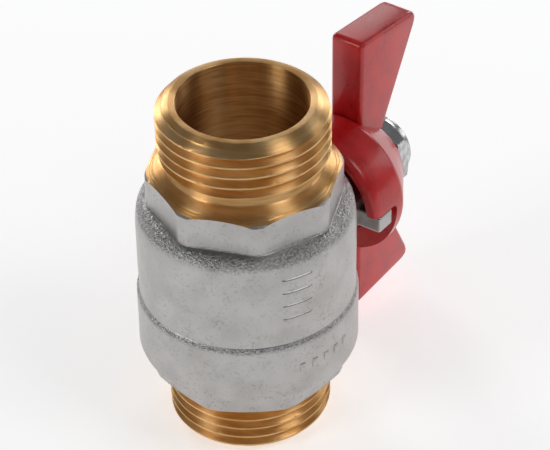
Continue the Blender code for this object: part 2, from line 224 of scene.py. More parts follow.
def socket_group(name: str, inputs: list[tuple[str, str, object]],
                 outputs: list[tuple[str, str]]) -> tuple[bpy.types.NodeTree, Graph, bpy.types.Node,
                                                          bpy.types.Node]:
    """Start a shader group with named sockets.

    Args:
        name: the group's name.
        inputs: name, socket type and default of each input.
        outputs: name and socket type of each output.

    Returns:
        The tree, its graph, its input node and its output node.
    """
    tree = bpy.data.node_groups.new(name, "ShaderNodeTree")
    for label, kind, default in inputs:
        socket = tree.interface.new_socket(label, in_out="INPUT", socket_type=kind)
        if default is not None:
            socket.default_value = default
    for label, kind in outputs:
        tree.interface.new_socket(label, in_out="OUTPUT", socket_type=kind)
    graph = Graph(tree)
    return tree, graph, graph.add("NodeGroupInput"), graph.add("NodeGroupOutput")


# ------------------------------------------------------------------ shared surface effects
class Effects:
    """Shader groups that several finishes share, each built once."""

    def __init__(self) -> None:
        """Build the three groups."""
        self.grain = self._grain()
        self.turning = self._turning()
        self.specks = self._specks()

    @staticmethod
    def _grain() -> bpy.types.NodeTree:
        """Fine and coarse grain of a cast or blasted skin.

        Returns:
            The group.
        """
        tree, g, start, end = socket_group(
            "cast_grain",
            [("Place", "NodeSocketVector", None), ("Fine Scale", "NodeSocketFloat", 9000.0),
             ("Coarse Scale", "NodeSocketFloat", 700.0)],
            [("Height", "NodeSocketFloat"), ("Patches", "NodeSocketFloat")])
        place = start.outputs["Place"]
        fine = g.clouds(place, start.outputs["Fine Scale"], 2.0)
        coarse = g.clouds(place, start.outputs["Coarse Scale"], 4.0)
        g.feed(end.inputs["Height"], g.calc("MULTIPLY_ADD", coarse, 1.4, fine))
        g.feed(end.inputs["Patches"], coarse)
        return tree

    @staticmethod
    def _turning() -> bpy.types.NodeTree:
        """Rings that a lathe tool leaves round an axis, broken up a little along each ring.

        Returns:
            The group.
        """
        tree, g, start, end = socket_group(
            "lathe_rings",
            [("Place", "NodeSocketVector", None), ("Rings", "NodeSocketFloat", 6000.0),
             ("Around", "NodeSocketFloat", 2.0)],
            [("Height", "NodeSocketFloat"), ("Bands", "NodeSocketFloat")])
        split = g.add("ShaderNodeSeparateXYZ")
        g.feed(split.inputs[0], start.outputs["Place"])
        x, y, z = split.outputs
        radius = g.calc("SQRT", g.calc("MULTIPLY_ADD", x, x, g.calc("MULTIPLY", y, y)))
        across = g.calc("ADD", z, radius)
        step = g.calc("SUBTRACT", z, g.calc("MULTIPLY", radius, 0.61))
        around = g.calc("MULTIPLY", start.outputs["Around"], 0.001)
        unit_x = g.calc("MULTIPLY", g.calc("DIVIDE", x, radius), around)
        unit_y = g.calc("MULTIPLY", g.calc("DIVIDE", y, radius), around)
        along = g.add("ShaderNodeVectorMath", operation="ADD")
        g.feed(along.inputs[0], g.vector(unit_x, unit_y, across))
        g.feed(along.inputs[1], g.vector(0.0, 0.0, step))
        g.feed(end.inputs["Height"], g.clouds(along.outputs[0], start.outputs["Rings"]))
        wide = g.calc("MULTIPLY", start.outputs["Rings"], 0.22)
        g.feed(end.inputs["Bands"], g.clouds(along.outputs[0], wide, 2.0))
        return tree

    @staticmethod
    def _specks() -> bpy.types.NodeTree:
        """Sparse small pits and dirt specks.

        Returns:
            The group.
        """
        tree, g, start, end = socket_group(
            "specks",
            [("Place", "NodeSocketVector", None), ("Scale", "NodeSocketFloat", 1500.0),
             ("Share", "NodeSocketFloat", 0.3)],
            [("Mask", "NodeSocketFloat")])
        place, scale = start.outputs["Place"], start.outputs["Scale"]
        spots = g.clouds(place, scale, 3.0, 0.65)
        patches = g.clouds(place, g.calc("MULTIPLY", scale, 0.16), 2.0)
        limit = g.calc("MULTIPLY_ADD", start.outputs["Share"], -0.5, 0.86)
        loose = g.calc("MULTIPLY_ADD", patches, 0.35, spots)
        mask = g.span(loose, limit, g.calc("ADD", limit, 0.06), 0.0, 1.0, smooth=True)
        g.feed(end.inputs["Mask"], mask)
        return tree


# ------------------------------------------------------------------ finishes
@dataclass(frozen=True)
class Finish:
    """What every finish has: a name, a record slot and the start of its material."""

    name: str
    slot: str

    def start(self) -> tuple[bpy.types.Material, Graph, bpy.types.Node, Socket]:
        """Make the material and its shader.

        Returns:
            The material, its graph, its Principled node and the place that patterns read.
        """
        made = bpy.data.materials.new(self.name)
        made.use_nodes = True
        graph = Graph(made.node_tree)
        shader = made.node_tree.nodes["Principled BSDF"]
        place = graph.add("ShaderNodeTexCoord").outputs["Object"]
        return made, graph, shader, place

    def effect(self, graph: Graph, tree: bpy.types.NodeTree, **values: object) -> bpy.types.Node:
        """Place a shared effect in the material.

        Args:
            graph: the material's graph.
            tree: the effect's group.
            values: its inputs, with spaces written as underscores.

        Returns:
            The group node.
        """
        node = graph.add("ShaderNodeGroup", node_tree=tree)
        for label, value in values.items():
            graph.feed(node.inputs[label.replace("_", " ")], value)
        return node


@dataclass(frozen=True)
class BlastedNickel(Finish):
    """Nickel plate over a blasted forging, coarser where the mesh carries grit, with painted shade in the
    grit's hollows.
    """

    light: Triple = (0.50, 0.485, 0.475)
    dark: Triple = (0.42, 0.405, 0.395)
    stain: Triple = (0.16, 0.125, 0.10)
    # Painted shade: the dark colour laid into the hollows of the coarse grit.
    painted_hollow_shade: Triple = (0.17, 0.155, 0.185)

    def build(self, effects: Effects) -> bpy.types.Material:
        """Write the material from the shared effects."""
        made, g, shader, place = self.start()
        grit = g.add("ShaderNodeAttribute", attribute_name="grit").outputs["Fac"]
        grain = self.effect(g, effects.grain, Place=place, Fine_Scale=5200.0, Coarse_Scale=230.0)
        specks = self.effect(g, effects.specks, Place=place, Scale=2100.0, Share=0.20)
        gravel = g.clouds(place, 2600.0, 2.0, 0.6)
        tone = g.span(grain.outputs["Patches"], 0.3, 0.7, 0.0, 1.0, smooth=True)
        base = g.blend(tone, self.dark, self.light)
        base = g.blend(g.calc("MULTIPLY", specks.outputs["Mask"], 0.28), base, self.stain)
        # Painted shade: darkens the low spots of the gravel bump wherever the mesh carries grit.
        painted_hollow_shade_mask = g.span(gravel, 0.40, 0.56, 1.0, 0.0, smooth=True)
        base = g.blend(g.calc("MULTIPLY", g.calc("MULTIPLY", painted_hollow_shade_mask, grit), 0.5), base, self.painted_hollow_shade)
        g.feed(shader.inputs["Base Color"], base)
        shader.inputs["Metallic"].default_value = 1.0
        rough = g.span(grain.outputs["Patches"], 0.3, 0.7, 0.31, 0.38)
        g.feed(shader.inputs["Roughness"], g.calc("MULTIPLY_ADD", grit, -0.06, rough))
        first = g.relief(grain.outputs["Height"], 0.16, 0.00006)
        height = g.calc("MULTIPLY", gravel, grit)
        g.feed(shader.inputs["Normal"], g.relief(height, 1.0, 0.00035, first))
        return made


@dataclass(frozen=True)
class TurnedBrass(Finish):
    """Bare brass off the lathe, with rings round one axis."""

    light: Triple = (0.82, 0.53, 0.25)
    dark: Triple = (0.60, 0.32, 0.105)
    rings: float = 5200.0
    rough: float = 0.36
    depth: float = 0.00004
    axis: Axis = Axis.PIPE

    def build(self, effects: Effects) -> bpy.types.Material:
        """Write the material from the shared effects."""
        made, g, shader, place = self.start()
        split = g.add("ShaderNodeSeparateXYZ")
        g.feed(split.inputs[0], place)
        x, y, z = split.outputs
        round_pipe = g.vector(g.calc("MULTIPLY", y, -1.0), x, 0.0)
        if self.axis is Axis.STEM:
            level = g.calc("SUBTRACT", z, STEM_HEIGHT * MM)
            place = g.vector(level, y, x)
        turning = self.effect(g, effects.turning, Place=place, Rings=self.rings, Around=1.6)
        patches = g.clouds(place, 160.0, 3.0, 0.55)
        tone = g.calc("MULTIPLY_ADD", turning.outputs["Bands"], 0.8, g.calc("MULTIPLY", patches, 0.3))
        base = g.blend(g.span(tone, 0.35, 0.75, 0.0, 1.0, smooth=True), self.dark, self.light)
        g.feed(shader.inputs["Base Color"], base)
        shader.inputs["Metallic"].default_value = 1.0
        shader.inputs["Anisotropic"].default_value = 0.92
        shader.inputs["Anisotropic Rotation"].default_value = 0.25
        g.feed(shader.inputs["Roughness"],
               g.span(turning.outputs["Height"], 0.3, 0.7, self.rough - 0.04, self.rough + 0.06))
        g.feed(shader.inputs["Normal"], g.relief(turning.outputs["Height"], 0.35, self.depth))
        round_stem = g.vector(0.0, g.calc("MULTIPLY", level, -1.0), y) if self.axis is Axis.STEM else None
        g.feed(shader.inputs["Tangent"], round_stem or round_pipe)
        return made


@dataclass(frozen=True)
class Enamel(Finish):
    """Thick glossy enamel over a cast handle."""

    colour: Triple = (0.64, 0.016, 0.018)
    deep: Triple = (0.52, 0.008, 0.010)

    def build(self, effects: Effects) -> bpy.types.Material:
        """Write the material from the shared effects."""
        made, g, shader, place = self.start()
        grain = self.effect(g, effects.grain, Place=place, Fine_Scale=1400.0, Coarse_Scale=260.0)
        specks = self.effect(g, effects.specks, Place=place, Scale=1300.0, Share=0.10)
        tone = g.span(grain.outputs["Patches"], 0.35, 0.65, 0.0, 1.0, smooth=True)
        base = g.blend(tone, self.deep, self.colour)
        base = g.blend(g.calc("MULTIPLY", specks.outputs["Mask"], 0.25), base, (0.62, 0.12, 0.10))
        g.feed(shader.inputs["Base Color"], base)
        g.feed(shader.inputs["Roughness"], g.span(grain.outputs["Patches"], 0.3, 0.7, 0.26, 0.34))
        shader.inputs["Coat Weight"].default_value = 0.25
        shader.inputs["Coat Roughness"].default_value = 0.12
        g.feed(shader.inputs["Normal"], g.relief(grain.outputs["Height"], 0.12, 0.00008))
        return made


@dataclass(frozen=True)
class BrightMetal(Finish):
    """Plated or polished metal with light scuffs."""

    colour: Triple = (0.62, 0.62, 0.62)
    dull: Triple = (0.42, 0.42, 0.43)
    rough: float = 0.22

    def build(self, effects: Effects) -> bpy.types.Material:
        """Write the material from the shared effects."""
        made, g, shader, place = self.start()
        grain = self.effect(g, effects.grain, Place=place, Fine_Scale=5200.0, Coarse_Scale=600.0)
        tone = g.span(grain.outputs["Patches"], 0.38, 0.66, 0.0, 1.0, smooth=True)
        g.feed(shader.inputs["Base Color"], g.blend(tone, self.dull, self.colour))
        shader.inputs["Metallic"].default_value = 1.0
        g.feed(shader.inputs["Roughness"], g.calc("MULTIPLY_ADD", tone, -0.05, self.rough + 0.04))
        g.feed(shader.inputs["Normal"], g.relief(grain.outputs["Height"], 0.15, 0.00004))
        return made


@dataclass(frozen=True)
class SoftPlastic(Finish):
    """Waxy plastic or rubber with a faint mottle."""

    colour: Triple = (0.85, 0.85, 0.82)
    deep: Triple = (0.74, 0.74, 0.70)
    rough: float = 0.45

    def build(self, effects: Effects) -> bpy.types.Material:
        """Write the material from the shared effects."""
        made, g, shader, place = self.start()
        grain = self.effect(g, effects.grain, Place=place, Fine_Scale=4200.0, Coarse_Scale=500.0)
        tone = g.span(grain.outputs["Patches"], 0.35, 0.65, 0.0, 1.0, smooth=True)
        g.feed(shader.inputs["Base Color"], g.blend(tone, self.deep, self.colour))
        g.feed(shader.inputs["Roughness"], g.calc("MULTIPLY_ADD", tone, 0.08, self.rough - 0.04))
        g.feed(shader.inputs["Normal"], g.relief(grain.outputs["Height"], 0.2, 0.00005))
        return made


# ------------------------------------------------------------------ mesh drafting
@dataclass
class Draft:
    """Mesh in the making, in millimetres, from grids that share their edges."""

    points: list[np.ndarray] = field(default_factory=list)
    faces: list[tuple[int, ...]] = field(default_factory=list)
    looks: list[int] = field(default_factory=list)
    grit: list[np.ndarray] = field(default_factory=list)
    count: int = 0

    def grid(self, surface: np.ndarray, look: int | np.ndarray = 0, grit: np.ndarray | None = None,
             around: bool = True) -> None:
        """Add a grid of rows and columns; rows run down the outer side.

        Args:
            surface: points of shape (rows, columns, 3).
            look: material index, or one for each row of faces.
            grit: coarseness at each point, or None for none.
            around: whether the last column joins the first.
        """
        rows, columns = surface.shape[:2]
        self.points.append(surface.reshape(-1, 3))
        self.grit.append(np.zeros(rows * columns) if grit is None else grit.reshape(-1))
        last = columns if around else columns - 1
        for row in range(rows - 1):
            index = int(look if np.isscalar(look) else look[row])
            top = self.count + row * columns
            for column in range(last):
                after = (column + 1) % columns
                self.faces.append((top + column, top + columns + column, top + columns + after, top + after))
                self.looks.append(index)
        self.count += rows * columns

    def add_mesh(self, mesh: bpy.types.Mesh, look: int) -> None:
        """Add a finished mesh, in metres.

        Args:
            mesh: the mesh to take in.
            look: its material index.
        """
        spots = np.empty(len(mesh.vertices) * 3)
        mesh.vertices.foreach_get("co", spots)
        self.points.append(spots.reshape(-1, 3) / MM)
        self.grit.append(np.zeros(len(mesh.vertices)))
        for polygon in mesh.polygons:
            self.faces.append(tuple(self.count + index for index in polygon.vertices))
            self.looks.append(look)
        self.count += len(mesh.vertices)

    def build(self, name: str, materials: list[bpy.types.Material], sharp: float = 30.0,
              merge: float = 0.002) -> bpy.types.Object:
        """Weld the grids and make the object.

        Args:
            name: the piece's name.
            materials: its materials, in the order of their indices.
            sharp: angle in degrees past which an edge stays sharp.
            merge: distance in millimetres under which points become one.

        Returns:
            The object.
        """
        mesh = bpy.data.meshes.new(name)
        mesh.from_pydata((np.concatenate(self.points) * MM).tolist(), [], self.faces)
        for material in materials:
            mesh.materials.append(material)
        mesh.polygons.foreach_set("material_index", self.looks)
        layer = mesh.attributes.new("grit", "FLOAT", "POINT")
        layer.data.foreach_set("value", np.concatenate(self.grit))
        shape = bmesh.new()
        shape.from_mesh(mesh)
        bmesh.ops.remove_doubles(shape, verts=shape.verts, dist=merge * MM)
        bmesh.ops.dissolve_degenerate(shape, edges=shape.edges, dist=0.0002 * MM)
        bmesh.ops.recalc_face_normals(shape, faces=shape.faces)
        shape.to_mesh(mesh)
        shape.free()
        mesh.shade_smooth()
        mesh.set_sharp_from_angle(angle=math.radians(sharp))
        return place_mesh(mesh, name)


def place_mesh(mesh: bpy.types.Mesh, name: str) -> bpy.types.Object:
    """Put a mesh in the scene at the origin.

    Args:
        mesh: the mesh.
        name: the object's name.

    Returns:
        The object.
    """
    item = bpy.data.objects.new(name, mesh)
    bpy.context.scene.collection.objects.link(item)
    return item


def revolve(profile: Profile, columns: int = COLUMNS, axis: Axis = Axis.PIPE,
            height: float = 0.0) -> np.ndarray:
    """Turn a profile into a grid.

    Args:
        profile: (radius, place along the axis) from the top down the outer side, in mm.
        columns: points round the axis.
        axis: the axis to spin about.
        height: height of the stem axis, for pieces on the stem.

    Returns:
        Points of shape (rows, columns, 3).
    """
    angles = np.arange(columns) * TURN / columns
    radius = np.array([point[0] for point in profile])[:, None]
    along = np.array([point[1] for point in profile])[:, None] * np.ones(columns)
    if axis is Axis.PIPE:
        return np.stack([radius * np.cos(angles), radius * np.sin(angles), along], -1)
    return np.stack([along, radius * np.sin(angles), height - radius * np.cos(angles)], -1)


def rounded(corners: list[Triple], steps: int = 4, closed: bool = False) -> Profile:
    """Round the corners of a profile.

    Args:
        corners: (radius, place, rounding) of each corner, in mm.
        steps: pieces in each rounding.
        closed: whether the last corner joins the first.

    Returns:
        The profile with its corners rounded.
    """
    result: Profile = []
    count = len(corners)
    for index, (x, y, bend) in enumerate(corners):
        ends = not closed and index in (0, count - 1)
        if ends or bend <= 0.0:
            result.append((x, y))
            continue
        here = np.array((x, y))
        arms = []
        for other in (corners[index - 1], corners[(index + 1) % count]):
            arm = np.array(other[:2]) - here
            reach = float(np.linalg.norm(arm))
            arms.append(arm / reach * min(bend, reach * 0.49))
        for step in range(steps + 1):
            part = step / steps
            spot = here + arms[0] * (1 - part) ** 2 + arms[1] * part ** 2
            result.append((float(spot[0]), float(spot[1])))
    return result


def cut(piece: bpy.types.Object, tool: bpy.types.Object, operation: str = "DIFFERENCE") -> None:
    """Cut or join one mesh with another and drop the tool.

    Args:
        piece: the object that stays.
        tool: the object that cuts it or joins it.
        operation: the Boolean's operation.
    """
    modifier = piece.modifiers.new("cut", "BOOLEAN")
    modifier.operation = operation
    modifier.solver = "EXACT"
    modifier.object = tool
    settle(piece)
    bpy.data.objects.remove(tool, do_unlink=True)


def block(x: tuple[float, float], y: tuple[float, float], z: tuple[float, float],
          look: bpy.types.Material) -> bpy.types.Object:
    """Box between given places, with z from the stem axis.

    Args:
        x: its ends along the stem.
        y: its ends across.
        z: its ends up and down.
        look: its material.

    Returns:
        The box.
    """
    shape = bmesh.new()
    bmesh.ops.create_cube(shape, size=1.0)
    for vertex in shape.verts:
        ends = [pair[0] + (value + 0.5) * (pair[1] - pair[0]) for pair, value in zip((x, y, z), vertex.co)]
        vertex.co = Vector((ends[0], ends[1], ends[2] + STEM_HEIGHT)) * MM
    mesh = bpy.data.meshes.new("block")
    shape.to_mesh(mesh)
    shape.free()
    mesh.materials.append(look)
    return place_mesh(mesh, "block")


def settle(piece: bpy.types.Object, sharp: float = 30.0) -> None:
    """Turn a piece's modifiers into its plain mesh.

    Args:
        piece: the object.
        sharp: angle in degrees past which an edge stays sharp.
    """
    graph = bpy.context.evaluated_depsgraph_get()
    mesh = bpy.data.meshes.new_from_object(piece.evaluated_get(graph))
    piece.modifiers.clear()
    piece.data = mesh
    mesh.shade_smooth()
    mesh.set_sharp_from_angle(angle=math.radians(sharp))


def on_body(piece: bpy.types.Object, finish: Finish, body: str, *nodes: str) -> bpy.types.Object:
    """Attach a finished piece to its body, hide the CAD nodes it stands for and report it.

    Args:
        piece: the object.
        finish: not used.
        body: the CAD body it moves with.
        nodes: the CAD nodes that it stands for.

    Returns:
        The same object.
    """
    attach(piece, body)
    if nodes:
        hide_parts(*nodes)
    log.info("%s: %d faces on %s", piece.name, len(piece.data.polygons), body)
    return piece


def high(node: str) -> Vector:
    """Highest corner of a CAD node, in millimetres."""
    return Vector(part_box(node)[1]) / MM


def low(node: str) -> Vector:
    """Lowest corner of a CAD node, in millimetres."""
    return Vector(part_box(node)[0]) / MM


QUARTER_TURN = next(joint for joint in frame["record"]["behaviour"]["joints"]
                    if joint["name"] == "quarter_turn")
STEM_HEIGHT = QUARTER_TURN["pos_m"][2] / MM


# ------------------------------------------------------------------ threads by rule
class RuleTree:
    """Geometry nodes that make a surface by rule, with what every such tree shares."""

    def __init__(self, name: str, sizes: list[tuple[str, float]], counts: list[tuple[str, int]]) -> None:
        """Build the tree and its sockets.

        Args:
            name: the tree's name.
            sizes: name and default of each number.
            counts: name and default of each whole number.
        """
        self.tree = bpy.data.node_groups.new(name, "GeometryNodeTree")
        for kind, sockets in (("NodeSocketFloat", sizes), ("NodeSocketInt", counts)):
            for label, default in sockets:
                socket = self.tree.interface.new_socket(label, in_out="INPUT", socket_type=kind)
                socket.default_value = default
        self.tree.interface.new_socket("Material", in_out="INPUT", socket_type="NodeSocketMaterial")
        self.tree.interface.new_socket("Geometry", in_out="OUTPUT", socket_type="NodeSocketGeometry")
        g = Graph(self.tree)
        start = g.add("NodeGroupInput").outputs
        real = g.add("GeometryNodeRealizeInstances")
        g.feed(real.inputs[0], self.grow(g, start))
        dressed = g.add("GeometryNodeSetMaterial")
        g.feed(dressed.inputs["Geometry"], real.outputs[0])
        g.feed(dressed.inputs["Material"], start["Material"])
        g.feed(g.add("NodeGroupOutput").inputs["Geometry"], dressed.outputs[0])

    def grow(self, g: Graph, start: bpy.types.NodeOutputs) -> Socket:
        """Write the nodes of the rule; each tree has its own.

        Args:
            g: the tree's graph.
            start: the tree's inputs.

        Returns:
            The geometry's socket.
        """
        raise NotImplementedError

    def run(self, material: bpy.types.Material, **sizes: float) -> bpy.types.Mesh:
        """Run the tree and give its plain mesh.

        Args:
            material: what the surface is made of.
            sizes: inputs of the tree, with spaces written as underscores.

        Returns:
            The mesh, in metres.
        """
        holder = place_mesh(bpy.data.meshes.new("rule_holder"), "rule_holder")
        modifier = holder.modifiers.new("rule", "NODES")
        modifier.node_group = self.tree
        keys = {item.name: item.identifier for item in self.tree.interface.items_tree
                if item.item_type == "SOCKET" and item.in_out == "INPUT"}
        modifier[keys["Material"]] = material
        for label, value in sizes.items():
            modifier[keys[label.replace("_", " ")]] = value
        graph = bpy.context.evaluated_depsgraph_get()
        mesh = bpy.data.meshes.new_from_object(holder.evaluated_get(graph))
        modifier.node_group = None
        holder.modifiers.clear()
        bpy.data.objects.remove(holder, do_unlink=True)
        return mesh


def moved_to(g: Graph, mesh: Socket, place: Socket) -> Socket:
    """Set every point of a mesh to a place given in millimetres.

    Args:
        g: the graph to write in.
        mesh: the mesh.
        place: the vector.

    Returns:
        The moved mesh.
    """
    scaled = g.add("ShaderNodeVectorMath", operation="SCALE")
    g.feed(scaled.inputs[0], place)
    scaled.inputs["Scale"].default_value = MM
    moved = g.add("GeometryNodeSetPosition")
    g.feed(moved.inputs["Geometry"], mesh)
    g.feed(moved.inputs["Position"], scaled.outputs[0])
    return moved.outputs[0]


class ThreadTree(RuleTree):
    """Surface of a thread, wound between a chamfer and a relief."""

    def __init__(self) -> None:
        """Build the tree."""
        super().__init__("wound_thread", [
            ("Radius", 13.22), ("Depth", 1.16), ("Pitch", 1.814), ("Crest Phase", 0.0), ("Crest Share", 0.08),
            ("Low", 51.0), ("High", 59.5), ("Low Radius", 12.0), ("High Radius", 12.0), ("Low Slope", 1.0),
            ("High Slope", 1.0), ("Nicks", 0.10)], [("Columns", COLUMNS), ("Rows", 14), ("Turns", 8)])

    def grow(self, g: Graph, start: bpy.types.NodeOutputs) -> Socket:
        """Wind a flat grid up, clip it at both ends and weld it.

        Args:
            g: the tree's graph.
            start: the tree's inputs.

        Returns:
            The geometry's socket.
        """
        steps = g.calc("MULTIPLY", start["Columns"], start["Turns"])
        sheet = g.add("GeometryNodeMeshGrid")
        g.feed(sheet.inputs["Size X"], 1.0)
        g.feed(sheet.inputs["Size Y"], 1.0)
        g.feed(sheet.inputs["Vertices X"], g.calc("ADD", steps, 1.0))
        g.feed(sheet.inputs["Vertices Y"], g.calc("ADD", start["Rows"], 1.0))
        split = g.add("ShaderNodeSeparateXYZ")
        g.feed(split.inputs[0], g.add("GeometryNodeInputPosition").outputs[0])
        turns = g.calc("MULTIPLY", g.calc("ADD", split.outputs[0], 0.5), start["Turns"])
        across = g.calc("ADD", split.outputs[1], 0.5)
        angle = g.calc("MULTIPLY", turns, TURN)
        begin = g.calc("SUBTRACT", start["Low"], g.calc("MULTIPLY", start["Pitch"], 1.01))
        climb = g.calc("MULTIPLY_ADD", g.calc("ADD", turns, across), start["Pitch"], begin)
        along = g.calc("MINIMUM", g.calc("MAXIMUM", climb, start["Low"]), start["High"])
        lead = g.calc("MULTIPLY", turns, start["Pitch"])
        phase = g.calc("DIVIDE", g.calc("SUBTRACT", g.calc("SUBTRACT", along, lead), start["Crest Phase"]),
                       start["Pitch"])
        off_crest = g.calc("PINGPONG", phase, 0.5)
        flank_end = g.calc("SUBTRACT", 0.5, g.calc("MULTIPLY", start["Crest Share"], 0.8))
        drop = g.span(off_crest, start["Crest Share"], flank_end, 0.0, 1.0)
        eased = g.calc("MULTIPLY_ADD", g.span(drop, 0.0, 1.0, 0.0, 1.0, smooth=True), 0.35,
                       g.calc("MULTIPLY", drop, 0.65))
        wound = g.calc("SUBTRACT", start["Radius"], g.calc("MULTIPLY", eased, start["Depth"]))
        cosine, sine = g.calc("COSINE", angle), g.calc("SINE", angle)
        spot = g.vector(g.calc("MULTIPLY", cosine, 13.0), g.calc("MULTIPLY", sine, 13.0), along)
        bite = g.span(g.clouds(spot, 0.8, 2.0, 0.6), 0.60, 0.72, 0.0, start["Nicks"], smooth=True)
        bite = g.calc("MULTIPLY", bite, g.span(drop, 0.0, 0.25, 1.0, 0.0))
        from_low = g.calc("MULTIPLY_ADD", g.calc("SUBTRACT", along, start["Low"]), start["Low Slope"],
                          start["Low Radius"])
        from_high = g.calc("MULTIPLY_ADD", g.calc("SUBTRACT", start["High"], along), start["High Slope"],
                           start["High Radius"])
        radius = g.calc("MINIMUM", g.calc("SUBTRACT", wound, bite), g.calc("MINIMUM", from_low, from_high))
        place = g.vector(g.calc("MULTIPLY", radius, cosine), g.calc("MULTIPLY", radius, sine), along)
        welded = g.add("GeometryNodeMergeByDistance")
        g.feed(welded.inputs["Geometry"], moved_to(g, sheet.outputs["Mesh"], place))
        g.feed(welded.inputs["Distance"], 0.0000015)
        return welded.outputs[0]


class MarkTree(RuleTree):
    """Row of low raised bars, laid flat and then wrapped on a round wall."""

    def __init__(self) -> None:
        """Build the tree."""
        super().__init__("raised_bars", [
            ("Radius", 17.2), ("Direction", 234.5), ("Base", 38.2), ("Step Around", 0.0), ("Step Up", -2.5),
            ("Length", 5.6), ("Width", 0.5), ("Rise", 0.16), ("Sink", 0.25)], [("Count", 4)])

    def grow(self, g: Graph, start: bpy.types.NodeOutputs) -> Socket:
        """Shape one bar, repeat it along a line and wrap the row.

        Args:
            g: the tree's graph.
            start: the tree's inputs.

        Returns:
            The geometry's socket.
        """
        bar = g.add("GeometryNodeMeshCube")
        for label, count in (("Vertices X", 33), ("Vertices Y", 11), ("Vertices Z", 2)):
            bar.inputs[label].default_value = count
        split = g.add("ShaderNodeSeparateXYZ")
        g.feed(split.inputs[0], g.add("GeometryNodeInputPosition").outputs[0])
        x, y, z = split.outputs
        ends = g.calc("SUBTRACT", 1.0, g.calc("POWER", g.calc("ABSOLUTE", g.calc("MULTIPLY", x, 2.0)), 14.0))
        sides = g.calc("SUBTRACT", 1.0, g.calc("POWER", g.calc("ABSOLUTE", g.calc("MULTIPLY", y, 2.0)), 3.0))
        crown = g.calc("MULTIPLY", g.calc("MULTIPLY", ends, sides), g.calc("GREATER_THAN", z, 0.0))
        shaped = g.add("GeometryNodeSetPosition")
        g.feed(shaped.inputs["Geometry"], bar.outputs["Mesh"])
        rise = g.calc("SUBTRACT", g.calc("MULTIPLY", crown, g.calc("ADD", start["Rise"], start["Sink"])),
                      g.calc("MULTIPLY", g.calc("LESS_THAN", z, 0.0), 0.05))
        g.feed(shaped.inputs["Position"], g.vector(x, y, rise))
        line = g.add("GeometryNodeMeshLine")
        g.feed(line.inputs["Count"], start["Count"])
        g.feed(line.inputs["Offset"], g.vector(start["Step Around"], start["Step Up"], 0.0))
        row = g.add("GeometryNodeInstanceOnPoints")
        g.feed(row.inputs["Points"], line.outputs["Mesh"])
        g.feed(row.inputs["Instance"], shaped.outputs[0])
        g.feed(row.inputs["Scale"], g.vector(start["Length"], start["Width"], 1.0))
        flat = g.add("GeometryNodeRealizeInstances")
        g.feed(flat.inputs[0], row.outputs[0])
        laid = g.add("ShaderNodeSeparateXYZ")
        g.feed(laid.inputs[0], g.add("GeometryNodeInputPosition").outputs[0])
        around, up, out = laid.outputs
        turn = g.calc("ADD", g.calc("DIVIDE", around, start["Radius"]),
                      g.calc("MULTIPLY", start["Direction"], math.radians(1.0)))
        radius = g.calc("ADD", g.calc("SUBTRACT", start["Radius"], start["Sink"]), out)
        place = g.vector(g.calc("MULTIPLY", radius, g.calc("COSINE", turn)),
                         g.calc("MULTIPLY", radius, g.calc("SINE", turn)), g.calc("ADD", start["Base"], up))
        return moved_to(g, flat.outputs[0], place)


@dataclass(frozen=True)
class PipeThread:
    """G 3/4 male thread between an end face and its relief."""

    radius: float = 13.22
    pitch: float = 1.814
    depth: float = 1.12
    front: float = 217.5

    def sizes(self, crest: float, low_end: Triple,
              high_end: Triple) -> dict[str, float]:
        """Inputs for the thread tree.

        Args:
            crest: height of a crest at the valve's front.
            low_end: height, radius and slope where the thread starts.
            high_end: height, radius and slope where it ends.

        Returns:
            The inputs by name.
        """
        phase = crest - self.pitch * self.front / 360.0
        return {
            "Radius": self.radius, "Depth": self.depth, "Pitch": self.pitch, "Crest_Phase": phase,
            "Low": low_end[0], "Low_Radius": low_end[1], "Low_Slope": low_end[2],
            "High": high_end[0], "High_Radius": high_end[1], "High_Slope": high_end[2],
            "Turns": int(math.ceil((high_end[0] - low_end[0]) / self.pitch) + 2),
        }


# ------------------------------------------------------------------ pressure parts
def octagon_radius(angles: np.ndarray, flat: float, turn: float) -> np.ndarray:
    """Radius of a slightly rounded octagon.

    Args:
        angles: directions, in radians.
        flat: distance from the axis to a flat.
        turn: direction of one corner, in degrees.

    Returns:
        The radius in each direction.
    """
    step = math.radians(45.0)
    off = np.mod(angles - math.radians(turn), step) - step / 2
    plain = flat / np.cos(off)
    cap = flat / math.cos(step / 2) - 0.34
    ease = 0.05
    return cap - ease * np.log1p(np.exp((cap - plain) / ease))


